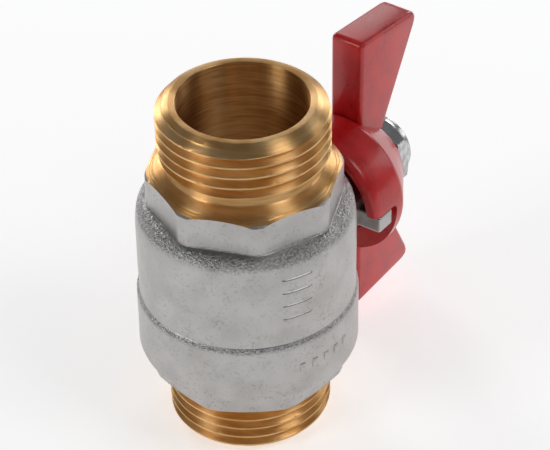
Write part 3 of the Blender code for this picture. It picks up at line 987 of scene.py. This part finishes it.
@dataclass
class Forging:
    """Valve body: threaded end, octagon, shoulder, two bands and the ball chamber."""

    flat: float = 14.4
    bore: float = 10.1
    relief: float = 12.05
    thread: PipeThread = field(default_factory=PipeThread)

    def outside(self, top: float, bottom: float) -> tuple[np.ndarray, np.ndarray, list[int]]:
        """Skin from the relief groove down to the underside.

        Args:
            top: height of the end face.
            bottom: height of the underside.

        Returns:
            The grid, its grit and the material index of each row of faces.
        """
        angles = np.arange(COLUMNS) * TURN / COLUMNS
        octagon = octagon_radius(angles, self.flat, 0.0)
        ones = np.ones(COLUMNS)
        band = -low("valve_body").x
        rows: list[tuple[np.ndarray, np.ndarray, float, int]] = []

        def row(radius: object, height: object, grit: float, look: int) -> None:
            rows.append((radius * ones, height * ones, grit, look))

        brass, nickel = 0, 1
        for radius, height in rounded([(self.relief, top - 9.3, 0.0), (self.relief, top - 10.75, 0.35),
                                       (13.1, top - 11.25, 0.35), (13.6, top - 11.5, 0.0)], 4):
            row(radius, height, 0.0, brass)
        slope = 0.567
        turned = np.minimum(octagon, 14.95) - 0.02
        tool_marks = (
            (0.26, 0.0), (0.30, 0.05), (0.34, 0.0), (0.58, 0.0), (0.62, 0.04), (0.66, 0.0), (1.0, 0.0))
        for part, step in tool_marks:
            row(13.6 + (turned - 13.6) * part, top - 11.5 - (turned - 13.6) * part * slope - step, 0.0, brass)
        edge = top - 11.5 - (turned - 13.6) * slope - (octagon - turned) * 1.1
        row(octagon - 0.01, edge + 0.03, 0.0, nickel)
        row(octagon, edge - 0.05, 0.0, nickel)
        foot = top - 17.55
        for part in (0.15, 0.4, 0.65, 0.85, 1.0):
            row(octagon, edge - 0.05 + (foot - edge + 0.05) * part, max(0.0, part - 0.85) * 2.0, nickel)
        blend_rows = 16
        for index in range(1, blend_rows + 1):
            part = index / blend_rows
            swell = math.sin(part * math.pi / 2) ** 1.25
            drop = 1.0 - math.cos(part * math.pi / 2)
            radius = octagon + (16.95 - octagon) * swell
            height = foot - 0.9 * part - 1.45 * drop ** 1.5
            grit = min(1.0, part * 3.0) * min(1.0, (1.06 - part) * 3.2)
            row(radius, height, max(0.0, grit), nickel)
        shoulder = foot - 2.35
        ridge = low("valve_body").z + (top - low("valve_body").z) * 0.2255
        bands = (
            (17.05, shoulder - 0.45, 0.0), (17.12, shoulder - 1.2, 0.0), (17.15, 38.0, 0.0),
            (17.17, 35.5, 0.0), (17.19, 33.0, 0.0), (17.2, 30.5, 0.0), (17.2, 28.2, 0.0), (17.21, 26.6, 0.0),
            (17.22, ridge + 0.62, 0.1), (17.24, ridge + 0.36, 0.8), (17.32, ridge + 0.16, 1.0),
            (17.48, ridge - 0.02, 1.0), (17.58, ridge - 0.25, 0.6), (17.62, ridge - 0.55, 0.1),
            (17.63, ridge - 1.4, 0.0), (17.64, 22.6, 0.0), (17.65, 20.4, 0.0), (17.67, 18.4, 0.0),
            (band - 0.02, 16.8, 0.0))
        for radius, height, grit in bands:
            row(radius, height, grit, nickel)
        rim = [(band, bottom + 1.0, 0.0), (band, bottom, 0.35), (band - 1.0, bottom, 0.0)]
        for radius, height in rounded(rim, 4):
            row(radius, height, 0.0, nickel)
        radius = np.array([item[0] for item in rows])
        height = np.array([item[1] for item in rows])
        grit = np.array([item[2] * ones for item in rows])
        look = [item[3] for item in rows][1:]
        radius = radius + self._unevenness(radius, height, angles, grit, np.array([item[3] for item in rows]))
        surface = np.stack([radius * np.cos(angles), radius * np.sin(angles), height], -1)
        return surface, grit, look

    @staticmethod
    def _unevenness(radius: np.ndarray, height: np.ndarray, angles: np.ndarray, grit: np.ndarray,
                    look: np.ndarray) -> np.ndarray:
        """Small waves of the forged skin, its coarse shoulder and its trimmed flash lines.

        Args:
            radius: radius of each point.
            height: height of each point.
            angles: direction of each column.
            grit: coarseness at each point.
            look: material index of each row.

        Returns:
            What to add to each radius.
        """
        extra = np.zeros_like(radius)
        for r in range(radius.shape[0]):
            if look[r] == 0:
                continue
            for c in range(radius.shape[1]):
                out = radius[r, c]
                spot = Vector((out * math.cos(angles[c]), out * math.sin(angles[c]), height[r, c]))
                extra[r, c] = 0.035 * noise.noise(spot * 0.22) + 0.012 * noise.noise(spot * 0.9)
                extra[r, c] += 0.10 * grit[r, c] * noise.noise(spot * 1.9)
        for direction in (180.0, -90.0):
            off = np.degrees(np.angle(np.exp(1j * (angles - math.radians(direction)))))
            extra += np.where((height > 25.8) & (height < 39.5), -0.035 * np.exp(-(off / 0.9) ** 2), 0.0)
        return extra

    def build(self, threads: ThreadTree, brass: TurnedBrass, nickel: BlastedNickel,
              looks: Looks) -> bpy.types.Object:
        """Make the body.

        Args:
            threads: the thread tree.
            brass: finish of the turned metal.
            nickel: finish of the plated metal.
            looks: every material by its finish's name.

        Returns:
            The body.
        """
        top = high("valve_body").z
        bottom = low("valve_body").z
        draft = Draft()
        surface, grit, look = self.outside(top, bottom)
        draft.grid(surface, np.array(look), grit)
        seat = STEM_HEIGHT + 11.0
        inner = rounded([
            (high("valve_body").y - 1.0, bottom, 0.0), (15.5, bottom, 0.2), (15.5, 24.5, 0.1),
            (14.6, 24.5, 0.1), (14.6, 37.0, 0.3), (13.2, 38.0, 0.3), (13.2, seat, 0.15),
            (self.bore, seat, 0.1), (self.bore, top, 0.16), (11.15, top, 0.1), (12.05, top - 0.5, 0.0)], 3)
        draft.grid(revolve(inner), 0)
        sizes = self.thread.sizes(top - 1.27, (top - 9.3, self.relief, 1.4), (top - 0.5, 12.05, 1.35))
        draft.add_mesh(threads.run(looks[brass.name], **sizes), 0)
        piece = draft.build("body_forging", [looks[brass.name], looks[nickel.name]])
        return on_body(piece, nickel, "housing", "valve_body")


@dataclass
class CastMarks:
    """Plain raised bars and pips on the two bands."""

    bars: dict[str, float] = field(default_factory=lambda: {
        "Radius": 17.19, "Direction": 244.5, "Base": 38.2, "Step_Up": -2.5,
        "Length": 5.6, "Width": 1.0, "Count": 4})
    pips: dict[str, float] = field(default_factory=lambda: {
        "Radius": 17.64, "Direction": 246.0, "Base": 20.6, "Step_Around": 2.3, "Step_Up": 0.0,
        "Length": 1.1, "Width": 2.3, "Count": 5, "Rise": 0.2})

    def build(self, marks: MarkTree, nickel: BlastedNickel, looks: Looks) -> None:
        """Make both rows.

        Args:
            marks: the tree that lays them.
            nickel: their finish.
            looks: every material by its finish's name.
        """
        for name, sizes in (("band_bars", self.bars), ("band_pips", self.pips)):
            mesh = marks.run(looks[nickel.name], **sizes)
            mesh.shade_smooth()
            on_body(place_mesh(mesh, name), nickel, "housing")


@dataclass
class StemBoss:
    """Boss round the stem with the stop lug, grown out of the body's side."""

    radius: float = 7.8

    def build(self, nickel: BlastedNickel, looks: Looks) -> bpy.types.Object:
        """Make the boss and its lug.

        Args:
            nickel: finish of the plated metal.
            looks: every material by its finish's name.

        Returns:
            The boss.
        """
        end = high("valve_body").x
        profile = rounded([
            (self.radius + 1.6, 14.9, 0.0), (self.radius + 0.9, 16.6, 0.8), (self.radius, 17.8, 0.8),
            (self.radius, end, 0.35), (6.4, end, 0.2), (6.4, 18.4, 0.1), (4.3, 18.4, 0.1),
            (4.3, 14.9, 0.0)], 4)
        profile.reverse()
        draft = Draft()
        draft.grid(revolve(profile + profile[:1], 128, Axis.STEM, STEM_HEIGHT), 0)
        boss = draft.build("stem_boss", [looks[nickel.name]])
        lug = self._lug(looks[nickel.name])
        cut(boss, lug, "UNION")
        return on_body(boss, nickel, "housing")

    def _lug(self, look: bpy.types.Material) -> bpy.types.Object:
        """Make the stop lug, a rounded block that reaches past the boss.

        Args:
            look: its material.

        Returns:
            The lug.
        """
        tip, back = -12.0, -self.radius + 1.4
        near, far = 19.4, 23.1
        under, over = STEM_HEIGHT - 2.5, STEM_HEIGHT + 1.0
        shape = bmesh.new()
        bmesh.ops.create_cube(shape, size=1.0)
        for vertex in shape.verts:
            x, y, z = vertex.co
            pinch = 0.25 if y < 0 else 0.0
            vertex.co = (
                (near + far) / 2 + x * (far - near),
                (tip + back) / 2 + y * (back - tip),
                (under + over) / 2 + z * (over - under - 2 * pinch))
            vertex.co *= MM
        bmesh.ops.bevel(shape, geom=shape.edges, offset=0.55 * MM, segments=4, profile=0.6, affect="EDGES")
        mesh = bpy.data.meshes.new("stop_lug")
        shape.to_mesh(mesh)
        shape.free()
        mesh.materials.append(look)
        return place_mesh(mesh, "stop_lug")


@dataclass
class EndConnection:
    """Screwed-in lower end: plated octagon, bare thread and the lower seat's pocket."""

    flat: float = 15.0
    corner: float = 15.0
    thread: PipeThread = field(default_factory=PipeThread)

    def build(self, threads: ThreadTree, brass: TurnedBrass, nickel: BlastedNickel,
              looks: Looks) -> bpy.types.Object:
        """Make the end connection.

        Args:
            threads: the thread tree.
            brass: finish of the turned metal.
            nickel: finish of the plated metal.
            looks: every material by its finish's name.

        Returns:
            The end connection.
        """
        angles = np.arange(COLUMNS) * TURN / COLUMNS
        octagon = octagon_radius(angles, self.flat, self.corner)
        ones = np.ones(COLUMNS)
        top = high("end_connection").z
        collar = low("valve_body").z - 0.3
        seat = STEM_HEIGHT - 11.0
        run, groove = 8.3, 12.05
        upper = rounded([
            (13.2, seat, 0.0), (13.2, top - 0.3, 0.1), (13.5, top, 0.1), (14.8, top, 0.2),
            (15.2, top - 0.4, 0.2), (15.2, collar + 0.9, 0.2), (14.5, collar + 0.3, 0.2),
            (14.5, collar, 0.0)], 3)
        draft = Draft()
        draft.grid(revolve(upper), 0)
        rows: list[tuple[np.ndarray, np.ndarray, int]] = [(14.5 * ones, collar * ones, 0)]
        edge = 9.9 + (octagon - 13.3) * 0.459
        rows.append((octagon - 0.25, collar * ones, 1))
        rows.append((octagon - 0.06, (collar - 0.08) * ones, 1))
        rows.append((octagon, (collar - 0.25) * ones, 1))
        for part in (0.35, 0.7, 1.0):
            rows.append((octagon, (collar - 0.25) + (edge + 0.05 - collar + 0.25) * part, 1))
        for part in (0.98, 0.7, 0.35, 0.0):
            rows.append((13.3 + (octagon - 13.3) * part, 9.9 + (octagon - 13.3) * part * 0.459, 0))
        for radius, height in rounded([(13.0, 9.75, 0.0), (groove, 9.3, 0.3), (groove, run, 0.0)], 3):
            rows.append((radius * ones, height * ones, 0))
        radius = np.array([item[0] for item in rows])
        height = np.array([item[1] for item in rows])
        surface = np.stack([radius * np.cos(angles), radius * np.sin(angles), height], -1)
        draft.grid(surface, np.array([item[2] for item in rows][1:]))
        sizes = self.thread.sizes(1.66, (0.5, 12.05, 1.35), (run, groove, 1.4))
        draft.add_mesh(threads.run(looks[brass.name], **sizes), 0)
        lower = rounded([
            (12.05, 0.5, 0.0), (11.15, 0.0, 0.1), (10.1, 0.0, 0.16), (10.1, seat, 0.1), (13.2, seat, 0.0)], 3)
        draft.grid(revolve(lower), 0)
        piece = draft.build("threaded_end", [looks[brass.name], looks[nickel.name]])
        return on_body(piece, brass, "housing", "end_connection")


# ------------------------------------------------------------------ turned inner pieces
@dataclass
class TurnedPiece:
    """Plain turned piece that stands for one CAD node."""

    name: str
    node: str
    body: str
    corners: list[Triple]
    axis: Axis = Axis.STEM
    columns: int = 96

    def build(self, finish: Finish, looks: Looks) -> bpy.types.Object:
        """Make the piece.

        Args:
            finish: its finish.
            looks: every material by its finish's name.

        Returns:
            The piece.
        """
        profile = rounded(self.corners, 4, closed=True)
        draft = Draft()
        draft.grid(revolve(profile + profile[:1], self.columns, self.axis, STEM_HEIGHT), 0)
        return on_body(draft.build(self.name, [looks[finish.name]]), finish, self.body, self.node)


def ring_corners(inner: float, outer: float, start: float, stop: float,
                 bend: float = 0.12) -> list[Triple]:
    """Corners of a ring.

    Args:
        inner: inner radius.
        outer: outer radius.
        start: lower end along the axis.
        stop: upper end along the axis.
        bend: rounding of the corners.

    Returns:
        The corners for a turned piece.
    """
    return [(outer, stop, bend), (outer, start, bend), (inner, start, bend), (inner, stop, bend)]


@dataclass
class Ball:
    """Polished ball with its bore and the slot for the stem."""

    radius: float = 14.2
    bore: float = 10.0

    def build(self, chrome: BrightMetal, looks: Looks) -> bpy.types.Object:
        """Make the ball.

        Args:
            chrome: its finish.
            looks: every material by its finish's name.

        Returns:
            The ball.
        """
        reach = math.asin(self.bore / self.radius)
        profile: Profile = []
        steps = 40
        for index in range(steps + 1):
            angle = reach + (math.pi - 2 * reach) * index / steps
            profile.append((self.radius * math.sin(angle), STEM_HEIGHT + self.radius * math.cos(angle)))
        profile[0] = (self.bore + 0.1, profile[0][1])
        profile[-1] = (self.bore + 0.1, profile[-1][1])
        profile += [(self.bore, profile[-1][1] + 0.1), (self.bore, profile[0][1] - 0.1)]
        draft = Draft()
        draft.grid(revolve(profile + profile[:1], 128), 0)
        ball = draft.build("polished_ball", [looks[chrome.name]])
        cut(ball, block((11.7, 19.7), (-16.0, 16.0), (-2.5, 2.5), looks[chrome.name]))
        return on_body(ball, chrome, "ball_body", "ball")


# ------------------------------------------------------------------ stem, handle and fasteners
def hexagon_radius(flats: float, turn: float, columns: int = 192) -> np.ndarray:
    """Radius of a hexagon whose corners are a little worn.

    Args:
        flats: size across the flats.
        turn: direction of one corner, in degrees.
        columns: points round the axis.

    Returns:
        The radius in each direction.
    """
    step = math.radians(60.0)
    off = np.mod(np.arange(columns) * TURN / columns - math.radians(turn), step) - step / 2
    return np.minimum(flats / 2 / np.cos(off), flats / 2 / math.cos(step / 2) - 0.07)


def stem_loft(name: str, rows: list[tuple[object, object]], look: bpy.types.Material,
              columns: int = 192, sharp: float = 24.0) -> bpy.types.Object:
    """Closed ring-like body on the stem axis, from rows of radius and place.

    Args:
        name: the object's name.
        rows: radius and place along the stem of each row, each a number or one for each column.
        look: its material.
        columns: points round the axis.
        sharp: angle in degrees past which an edge stays sharp.

    Returns:
        The body.
    """
    angles = np.arange(columns) * TURN / columns
    ones = np.ones(columns)
    sine, cosine = np.sin(angles), np.cos(angles)
    surface = np.array([np.stack([place * ones, radius * sine, STEM_HEIGHT - radius * cosine], -1)
                        for radius, place in [*rows, rows[0]]])
    draft = Draft()
    draft.grid(surface, 0)
    return draft.build(name, [look], sharp)


def turned_tool(corners: list[Triple], look: bpy.types.Material,
                columns: int = 128) -> bpy.types.Object:
    """Turned body on the stem axis, for cutting or joining.

    Args:
        corners: its profile, closed, from the far end down the outer side.
        look: its material.
        columns: points round the axis.

    Returns:
        The tool.
    """
    profile = rounded(corners, 4, closed=True)
    draft = Draft()
    draft.grid(revolve(profile + profile[:1], columns, Axis.STEM, STEM_HEIGHT), 0)
    return draft.build("tool", [look])


@dataclass
class StemGroup:
    """Stem with its flats and thread, and the gland nut round it."""

    radius: float = 4.0

    def build(self, threads: ThreadTree, brass: TurnedBrass,
              looks: Looks) -> list[bpy.types.Object]:
        """Make the stem and the gland nut.

        Args:
            threads: the thread tree.
            brass: finish of both.
            looks: every material by its finish's name.

        Returns:
            The pieces.
        """
        look = looks[brass.name]
        end = high("stem").x
        thread_start = low("lock_nut").x - 0.1
        surface = threads.run(look, Radius=self.radius - 0.05, Depth=0.62, Pitch=1.25, Crest_Phase=0.0,
                               Low=thread_start - 1.0, High=end - 0.1, Low_Radius=3.4, High_Radius=3.0,
                               Low_Slope=1.2, High_Slope=1.0, Columns=96, Rows=10,
                               Turns=int((end - thread_start) / 1.25 + 4))
        draft = Draft()
        spots = np.empty(len(surface.vertices) * 3)
        surface.vertices.foreach_get("co", spots)
        spots = spots.reshape(-1, 3)
        turned = np.stack([spots[:, 2], spots[:, 1], STEM_HEIGHT * MM - spots[:, 0]], -1)
        surface.vertices.foreach_set("co", turned.reshape(-1))
        draft.add_mesh(surface, 0)
        lower = rounded([
            (3.4, thread_start - 1.0, 0.0), (3.9, thread_start - 1.2, 0.1), (4.0, 18.35, 0.0),
            (3.2, 18.35, 0.0), (3.2, 17.25, 0.0), (4.0, 17.25, 0.0), (4.0, 16.0, 0.2), (5.6, 16.0, 0.2),
            (5.6, 14.5, 0.3),
            (0.0, 14.5, 0.0)], 3)
        draft.grid(revolve(lower, 96, Axis.STEM, STEM_HEIGHT), 0)
        cap = rounded([(0.0, end, 0.0), (2.7, end, 0.3), (3.0, end - 0.1, 0.0)], 2)
        draft.grid(revolve(cap, 96, Axis.STEM, STEM_HEIGHT), 0)
        stem = draft.build("threaded_stem", [look])
        for side in (-1, 1):
            cut(stem, block((26.4, 34.1), (side * 4.9 - 2.0, side * 4.9 + 2.0), (-6.0, 6.0), look))
        cut(stem, block((12.0, 15.0), (-4.3, 4.3), (-2.2, 2.2), look), "UNION")
        pieces = [on_body(stem, brass, "handle_set", "stem")]

        nose, crown = low("gland_nut").x, high("gland_nut").x
        six = hexagon_radius(13.0, 30.0)
        rows = [(4.3, crown), (6.1, crown), (6.25, crown - 0.04), (six, crown - 0.04 - (six - 6.25) * 0.5),
                (six, crown - 2.75), (six - 0.05, crown - 2.8), (6.1, crown - 2.8), (6.1, nose + 0.2),
                (5.9, nose), (4.3, nose)]
        nut = stem_loft("gland_screw", rows, look)
        pieces.append(on_body(nut, brass, "housing", "gland_nut"))
        return pieces


@dataclass
class ButterflyHandle:
    """Cast handle: domed hub, skirt that meets the stop lug, and two wings."""

    skirt: float = 12.3
    skirt_bore: float = 10.1
    half_thick: float = 3.05
    edge: float = 0.8
    inner_x: float = 26.6
    lug_top: float = 1.3
    lug_side: float = 2.8

    def wing_outline(self, side: int) -> Profile:
        """Outline of one wing.

        Args:
            side: +1 for the upper wing, -1 for the lower.

        Returns:
            Points (x, height from the stem axis).
        """
        tip = high("handle").z - STEM_HEIGHT
        corners = [(self.inner_x, 8.9, 0.0), (self.inner_x, tip, 1.1), (43.0, tip - 1.1, 3.2),
                   (33.2, 7.0, 0.0), (29.4, 7.0, 0.0)]
        points = rounded(corners, 8, closed=True)
        return [(x, z * side) for x, z in points]

    def wing(self, side: int, look: bpy.types.Material) -> bpy.types.Object:
        """Make one wing as a plate with well rounded edges.

        Args:
            side: +1 for the upper wing, -1 for the lower.
            look: its material.

        Returns:
            The wing.
        """
        outline = self.wing_outline(side)
        shape = bmesh.new()
        ring = [shape.verts.new((x * MM, -self.half_thick * MM, (STEM_HEIGHT + z) * MM)) for x, z in outline]
        face = shape.faces.new(ring)
        made = bmesh.ops.extrude_face_region(shape, geom=[face])
        moved = [item for item in made["geom"] if isinstance(item, bmesh.types.BMVert)]
        bmesh.ops.translate(shape, verts=moved, vec=(0.0, 2 * self.half_thick * MM, 0.0))
        bmesh.ops.recalc_face_normals(shape, faces=shape.faces)
        rims = [edge for edge in shape.edges
                if abs(edge.verts[0].co.y - edge.verts[1].co.y) < 0.1 * MM]
        bmesh.ops.bevel(shape, geom=rims, offset=self.edge * MM, segments=5, profile=0.5, affect="EDGES",
                        clamp_overlap=True)
        mesh = bpy.data.meshes.new("wing")
        shape.to_mesh(mesh)
        shape.free()
        mesh.materials.append(look)
        return place_mesh(mesh, "wing")

    def build(self, enamel: Enamel, looks: Looks) -> bpy.types.Object:
        """Make the handle.

        Args:
            enamel: its finish.
            looks: every material by its finish's name.

        Returns:
            The handle.
        """
        look = looks[enamel.name]
        rim, end, top = 25.6, low("handle").x, low("lock_nut").x - 0.3
        hub = turned_tool([
            (7.3, top, 0.35), (self.skirt, rim + 0.1, 0.55), (self.skirt, end, 1.5),
            (self.skirt_bore, end, 0.5), (self.skirt_bore, 23.9, 0.5), (8.3, 23.9, 0.3), (8.3, 27.2, 0.3),
            (2.0, 27.2, 0.0), (2.0, top, 0.0)], look, 192)
        gap = block((end - 2.0, 23.9), (-16.0, self.lug_side), (-16.0, self.lug_top), look)
        edges = gap.modifiers.new("round", "BEVEL")
        edges.width = 0.9 * MM
        edges.segments = 5
        edges.limit_method = "NONE"
        settle(gap)
        cut(hub, gap)
        for side in (1, -1):
            cut(hub, self.wing(side, look), "UNION")
        hole = turned_tool([
            (4.3, 40.0, 0.0), (4.3, 20.0, 0.0), (0.001, 20.0, 0.0), (0.001, 40.0, 0.0)], look, 64)
        cut(hole, block((15.0, 45.0), (-3.2, 3.2), (-6.0, 6.0), look), "INTERSECT")
        cut(hub, hole)
        hub.name = "butterfly_handle"
        settle(hub, 34.0)
        return on_body(hub, enamel, "handle_set", "handle")


@dataclass
class Fasteners:
    """Self-locking nut and its plastic insert."""

    flats: float = 12.0
    turn: float = 53.5

    def build(self, zinc: BrightMetal, nylon: SoftPlastic,
              looks: Looks) -> list[bpy.types.Object]:
        """Make the two pieces.

        Args:
            zinc: finish of the nut.
            nylon: finish of the insert.
            looks: every material by its finish's name.

        Returns:
            The pieces.
        """
        look = looks[zinc.name]
        start, stop = low("lock_nut").x, high("lock_nut").x
        six = hexagon_radius(self.flats, self.turn)
        rows = [
            (5.1, stop), (5.25, stop), (5.45, stop - 0.05), (5.56, stop - 0.18), (5.6, stop - 0.4),
            (5.6, stop - 1.1), (5.66, stop - 1.26), (5.8, stop - 1.42),
            (six, stop - 1.42 - (six - 5.8) * 0.83),
            (six, start + 0.05 + (six - 5.8) * 0.35),
            (5.8, start + 0.04), (5.7, start), (4.3, start), (4.3, stop - 1.35), (5.1, stop - 1.35)]
        nut = stem_loft("self_locking_nut", rows, look)
        pieces = [on_body(nut, zinc, "handle_set", "lock_nut")]
        insert = TurnedPiece("nylon_insert", "lock_nut_insert", "handle_set",
                             ring_corners(4.15, 4.95, low("lock_nut_insert").x,
                                          high("lock_nut_insert").x, 0.15))
        pieces.append(insert.build(nylon, looks))
        return pieces


# ------------------------------------------------------------------ studio
@dataclass
class Studio:
    """Camera, pale floor and soft lamps."""

    focal: float = 124.6
    pitch: float = 38.154
    roll: float = 0.946
    side: float = 217.5
    aside: float = 0.00448
    back: float = 0.23252
    height: float = 0.219
    glow: float = 0.50
    reach: float = 0.8
    panel: float = 0.28

    def camera(self) -> None:
        """Stand the camera where the valve is seen from above its front."""
        facing = math.radians(self.side)
        away = Vector((-math.cos(facing), -math.sin(facing), 0.0))
        right = Vector((away.y, -away.x, 0.0))
        tilt = math.radians(self.pitch)
        forward = away * math.cos(tilt) - Vector((0.0, 0.0, math.sin(tilt)))
        upward = away * math.sin(tilt) + Vector((0.0, 0.0, math.cos(tilt)))
        lean = math.radians(self.roll)
        right_leant = right * math.cos(lean) - upward * math.sin(lean)
        up_leant = upward * math.cos(lean) + right * math.sin(lean)
        spot = right * self.aside - away * self.back + Vector((0.0, 0.0, self.height))
        matrix = Matrix((right_leant, up_leant, -forward)).transposed().to_4x4()
        matrix.translation = spot
        data = bpy.data.cameras.new("camera")
        data.lens = self.focal
        data.sensor_width = 36.0
        data.clip_start = 0.01
        camera = bpy.data.objects.new("camera", data)
        camera.matrix_world = matrix
        bpy.context.scene.collection.objects.link(camera)
        bpy.context.scene.camera = camera

    def floor(self) -> None:
        """Lay a wide pale floor under the valve."""
        size = 3.0
        shape = bmesh.new()
        bmesh.ops.create_grid(shape, x_segments=8, y_segments=8, size=size)
        mesh = bpy.data.meshes.new("floor")
        shape.to_mesh(mesh)
        shape.free()
        look = bpy.data.materials.new("pale_floor")
        look.use_nodes = True
        shader = look.node_tree.nodes["Principled BSDF"]
        shader.inputs["Base Color"].default_value = (0.85, 0.85, 0.85, 1.0)
        shader.inputs["Roughness"].default_value = 0.9
        shader.inputs["Emission Color"].default_value = (1.0, 1.0, 1.0, 1.0)
        shader.inputs["Emission Strength"].default_value = self.glow
        mesh.materials.append(look)
        place_mesh(mesh, "floor")

    def lamp(self, name: str, azimuth: float, elevation: float, power: float) -> None:
        """Hang one soft lamp that faces the valve.

        Args:
            name: the lamp's name.
            azimuth: its direction from the valve, in degrees from +X.
            elevation: its height angle, in degrees.
            power: its power, in watts.
        """
        data = bpy.data.lights.new(name, "AREA")
        data.shape = "RECTANGLE"
        data.size = data.size_y = self.panel
        data.energy = power
        turn, rise = math.radians(azimuth), math.radians(elevation)
        aim = Vector((0.0, 0.0, 0.03))
        spot = aim + self.reach * Vector((math.cos(turn) * math.cos(rise), math.sin(turn) * math.cos(rise),
                                        math.sin(rise)))
        lamp = bpy.data.objects.new(name, data)
        lamp.location = spot
        lamp.rotation_euler = (aim - spot).to_track_quat("-Z", "Y").to_euler()
        bpy.context.scene.collection.objects.link(lamp)

    def light(self) -> None:
        """Hang the lamps and set the room's own light."""
        world = bpy.data.worlds.new("room")
        bpy.context.scene.world = world
        world.use_nodes = True
        world.node_tree.nodes["Background"].inputs["Color"].default_value = (0.95, 0.97, 1.0, 1.0)
        world.node_tree.nodes["Background"].inputs["Strength"].default_value = 0.16
        lamps = (
            ("left_front", -60.0, 20.0, 1.30), ("left_back", -150.0, 20.0, 1.20), ("back", 180.0, 24.0, 0.45),
            ("right_back", 150.0, 20.0, 0.90), ("right_rim", 110.0, 20.0, 0.50),
            ("right_high", 60.0, 50.0, 1.00))
        for name, turn, rise, power in lamps:
            self.lamp(name, self.side + turn, rise, power)
        bpy.context.scene.view_settings.view_transform = "Standard"

    def build(self) -> None:
        """Set up the whole studio."""
        self.camera()
        self.floor()
        self.light()


# ------------------------------------------------------------------ the valve
def finishes() -> dict[str, Finish]:
    """Every finish on the valve, by its part in it."""
    return {
        "nickel": BlastedNickel("blasted_nickel", "nickel_plated_brass"),
        "brass": TurnedBrass("turned_brass", "brass"),
        "stem_brass": TurnedBrass("stem_brass", "brass", axis=Axis.STEM),
        "chrome": BrightMetal("polished_chrome", "chromed_ball",
                              (0.80, 0.80, 0.81), (0.74, 0.74, 0.75), 0.06),
        "zinc": BrightMetal("zinc_plate", "zinc_plated_steel"),
        "ptfe": SoftPlastic("white_ptfe", "ptfe"),
        "rubber": SoftPlastic("black_rubber", "rubber", (0.035, 0.035, 0.037), (0.02, 0.02, 0.02), 0.6),
        "nylon": SoftPlastic("milky_nylon", "nylon", (0.72, 0.74, 0.70), (0.62, 0.65, 0.60), 0.4),
        "enamel": Enamel("glossy_red", "red_enamel"),
    }


def seals(made: dict[str, Finish], looks: Looks) -> list[bpy.types.Object]:
    """Seats, seals and packing.

    Args:
        made: the finishes.
        looks: every material by its finish's name.

    Returns:
        The pieces.
    """
    pieces = []
    for side, name in ((1, "upper"), (-1, "lower")):
        corners = [(12.9, 10.7, 0.2), (12.9, 7.55, 0.2), (12.3, 7.65, 0.1), (10.2, 10.32, 0.05),
                   (10.2, 10.7, 0.05)]
        corners = [(radius, STEM_HEIGHT + side * height, bend) for radius, height, bend in corners]
        seat = TurnedPiece(f"{name}_seat", f"seat_ring_{name}", "housing", corners, Axis.PIPE, 192)
        pieces.append(seat.build(made["ptfe"], looks))
    corners = ring_corners(13.7, 15.2, low("body_seal").z, high("body_seal").z)
    seal = TurnedPiece("joint_seal", "body_seal", "housing", corners, Axis.PIPE, 192)
    pieces.append(seal.build(made["ptfe"], looks))
    stem_rings = (("collar_washer", "thrust_washer", 5.6), ("first_packing", "packing_ring_1", 6.1),
                  ("second_packing", "packing_ring_2", 6.1))
    for name, node, outer in stem_rings:
        corners = ring_corners(4.3, outer, low(node).x, high(node).x)
        pieces.append(TurnedPiece(name, node, "housing", corners).build(made["ptfe"], looks))
    middle = (low("stem_o_ring").x + high("stem_o_ring").x) / 2
    section = [(3.78 + 0.4 * math.cos(-TURN * step / 16), middle + 0.4 * math.sin(-TURN * step / 16), 0.0)
               for step in range(16)]
    pieces.append(TurnedPiece("o_ring", "stem_o_ring", "handle_set", section).build(made["rubber"], looks))
    return pieces


def main() -> None:
    """Build the valve piece by piece, then the studio."""
    logging.basicConfig(level=logging.INFO, format="%(name)s: %(message)s")
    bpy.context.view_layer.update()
    made = finishes()
    effects = Effects()
    looks = {finish.name: finish.build(effects) for finish in made.values()}
    threads = ThreadTree()
    Forging().build(threads, made["brass"], made["nickel"], looks)
    CastMarks().build(MarkTree(), made["nickel"], looks)
    StemBoss().build(made["nickel"], looks)
    EndConnection().build(threads, made["brass"], made["nickel"], looks)
    Ball().build(made["chrome"], looks)
    seals(made, looks)
    StemGroup().build(threads, made["stem_brass"], looks)
    ButterflyHandle().build(made["enamel"], looks)
    Fasteners().build(made["zinc"], made["nylon"], looks)
    Studio().build()


if __name__ == "__main__":
    main()
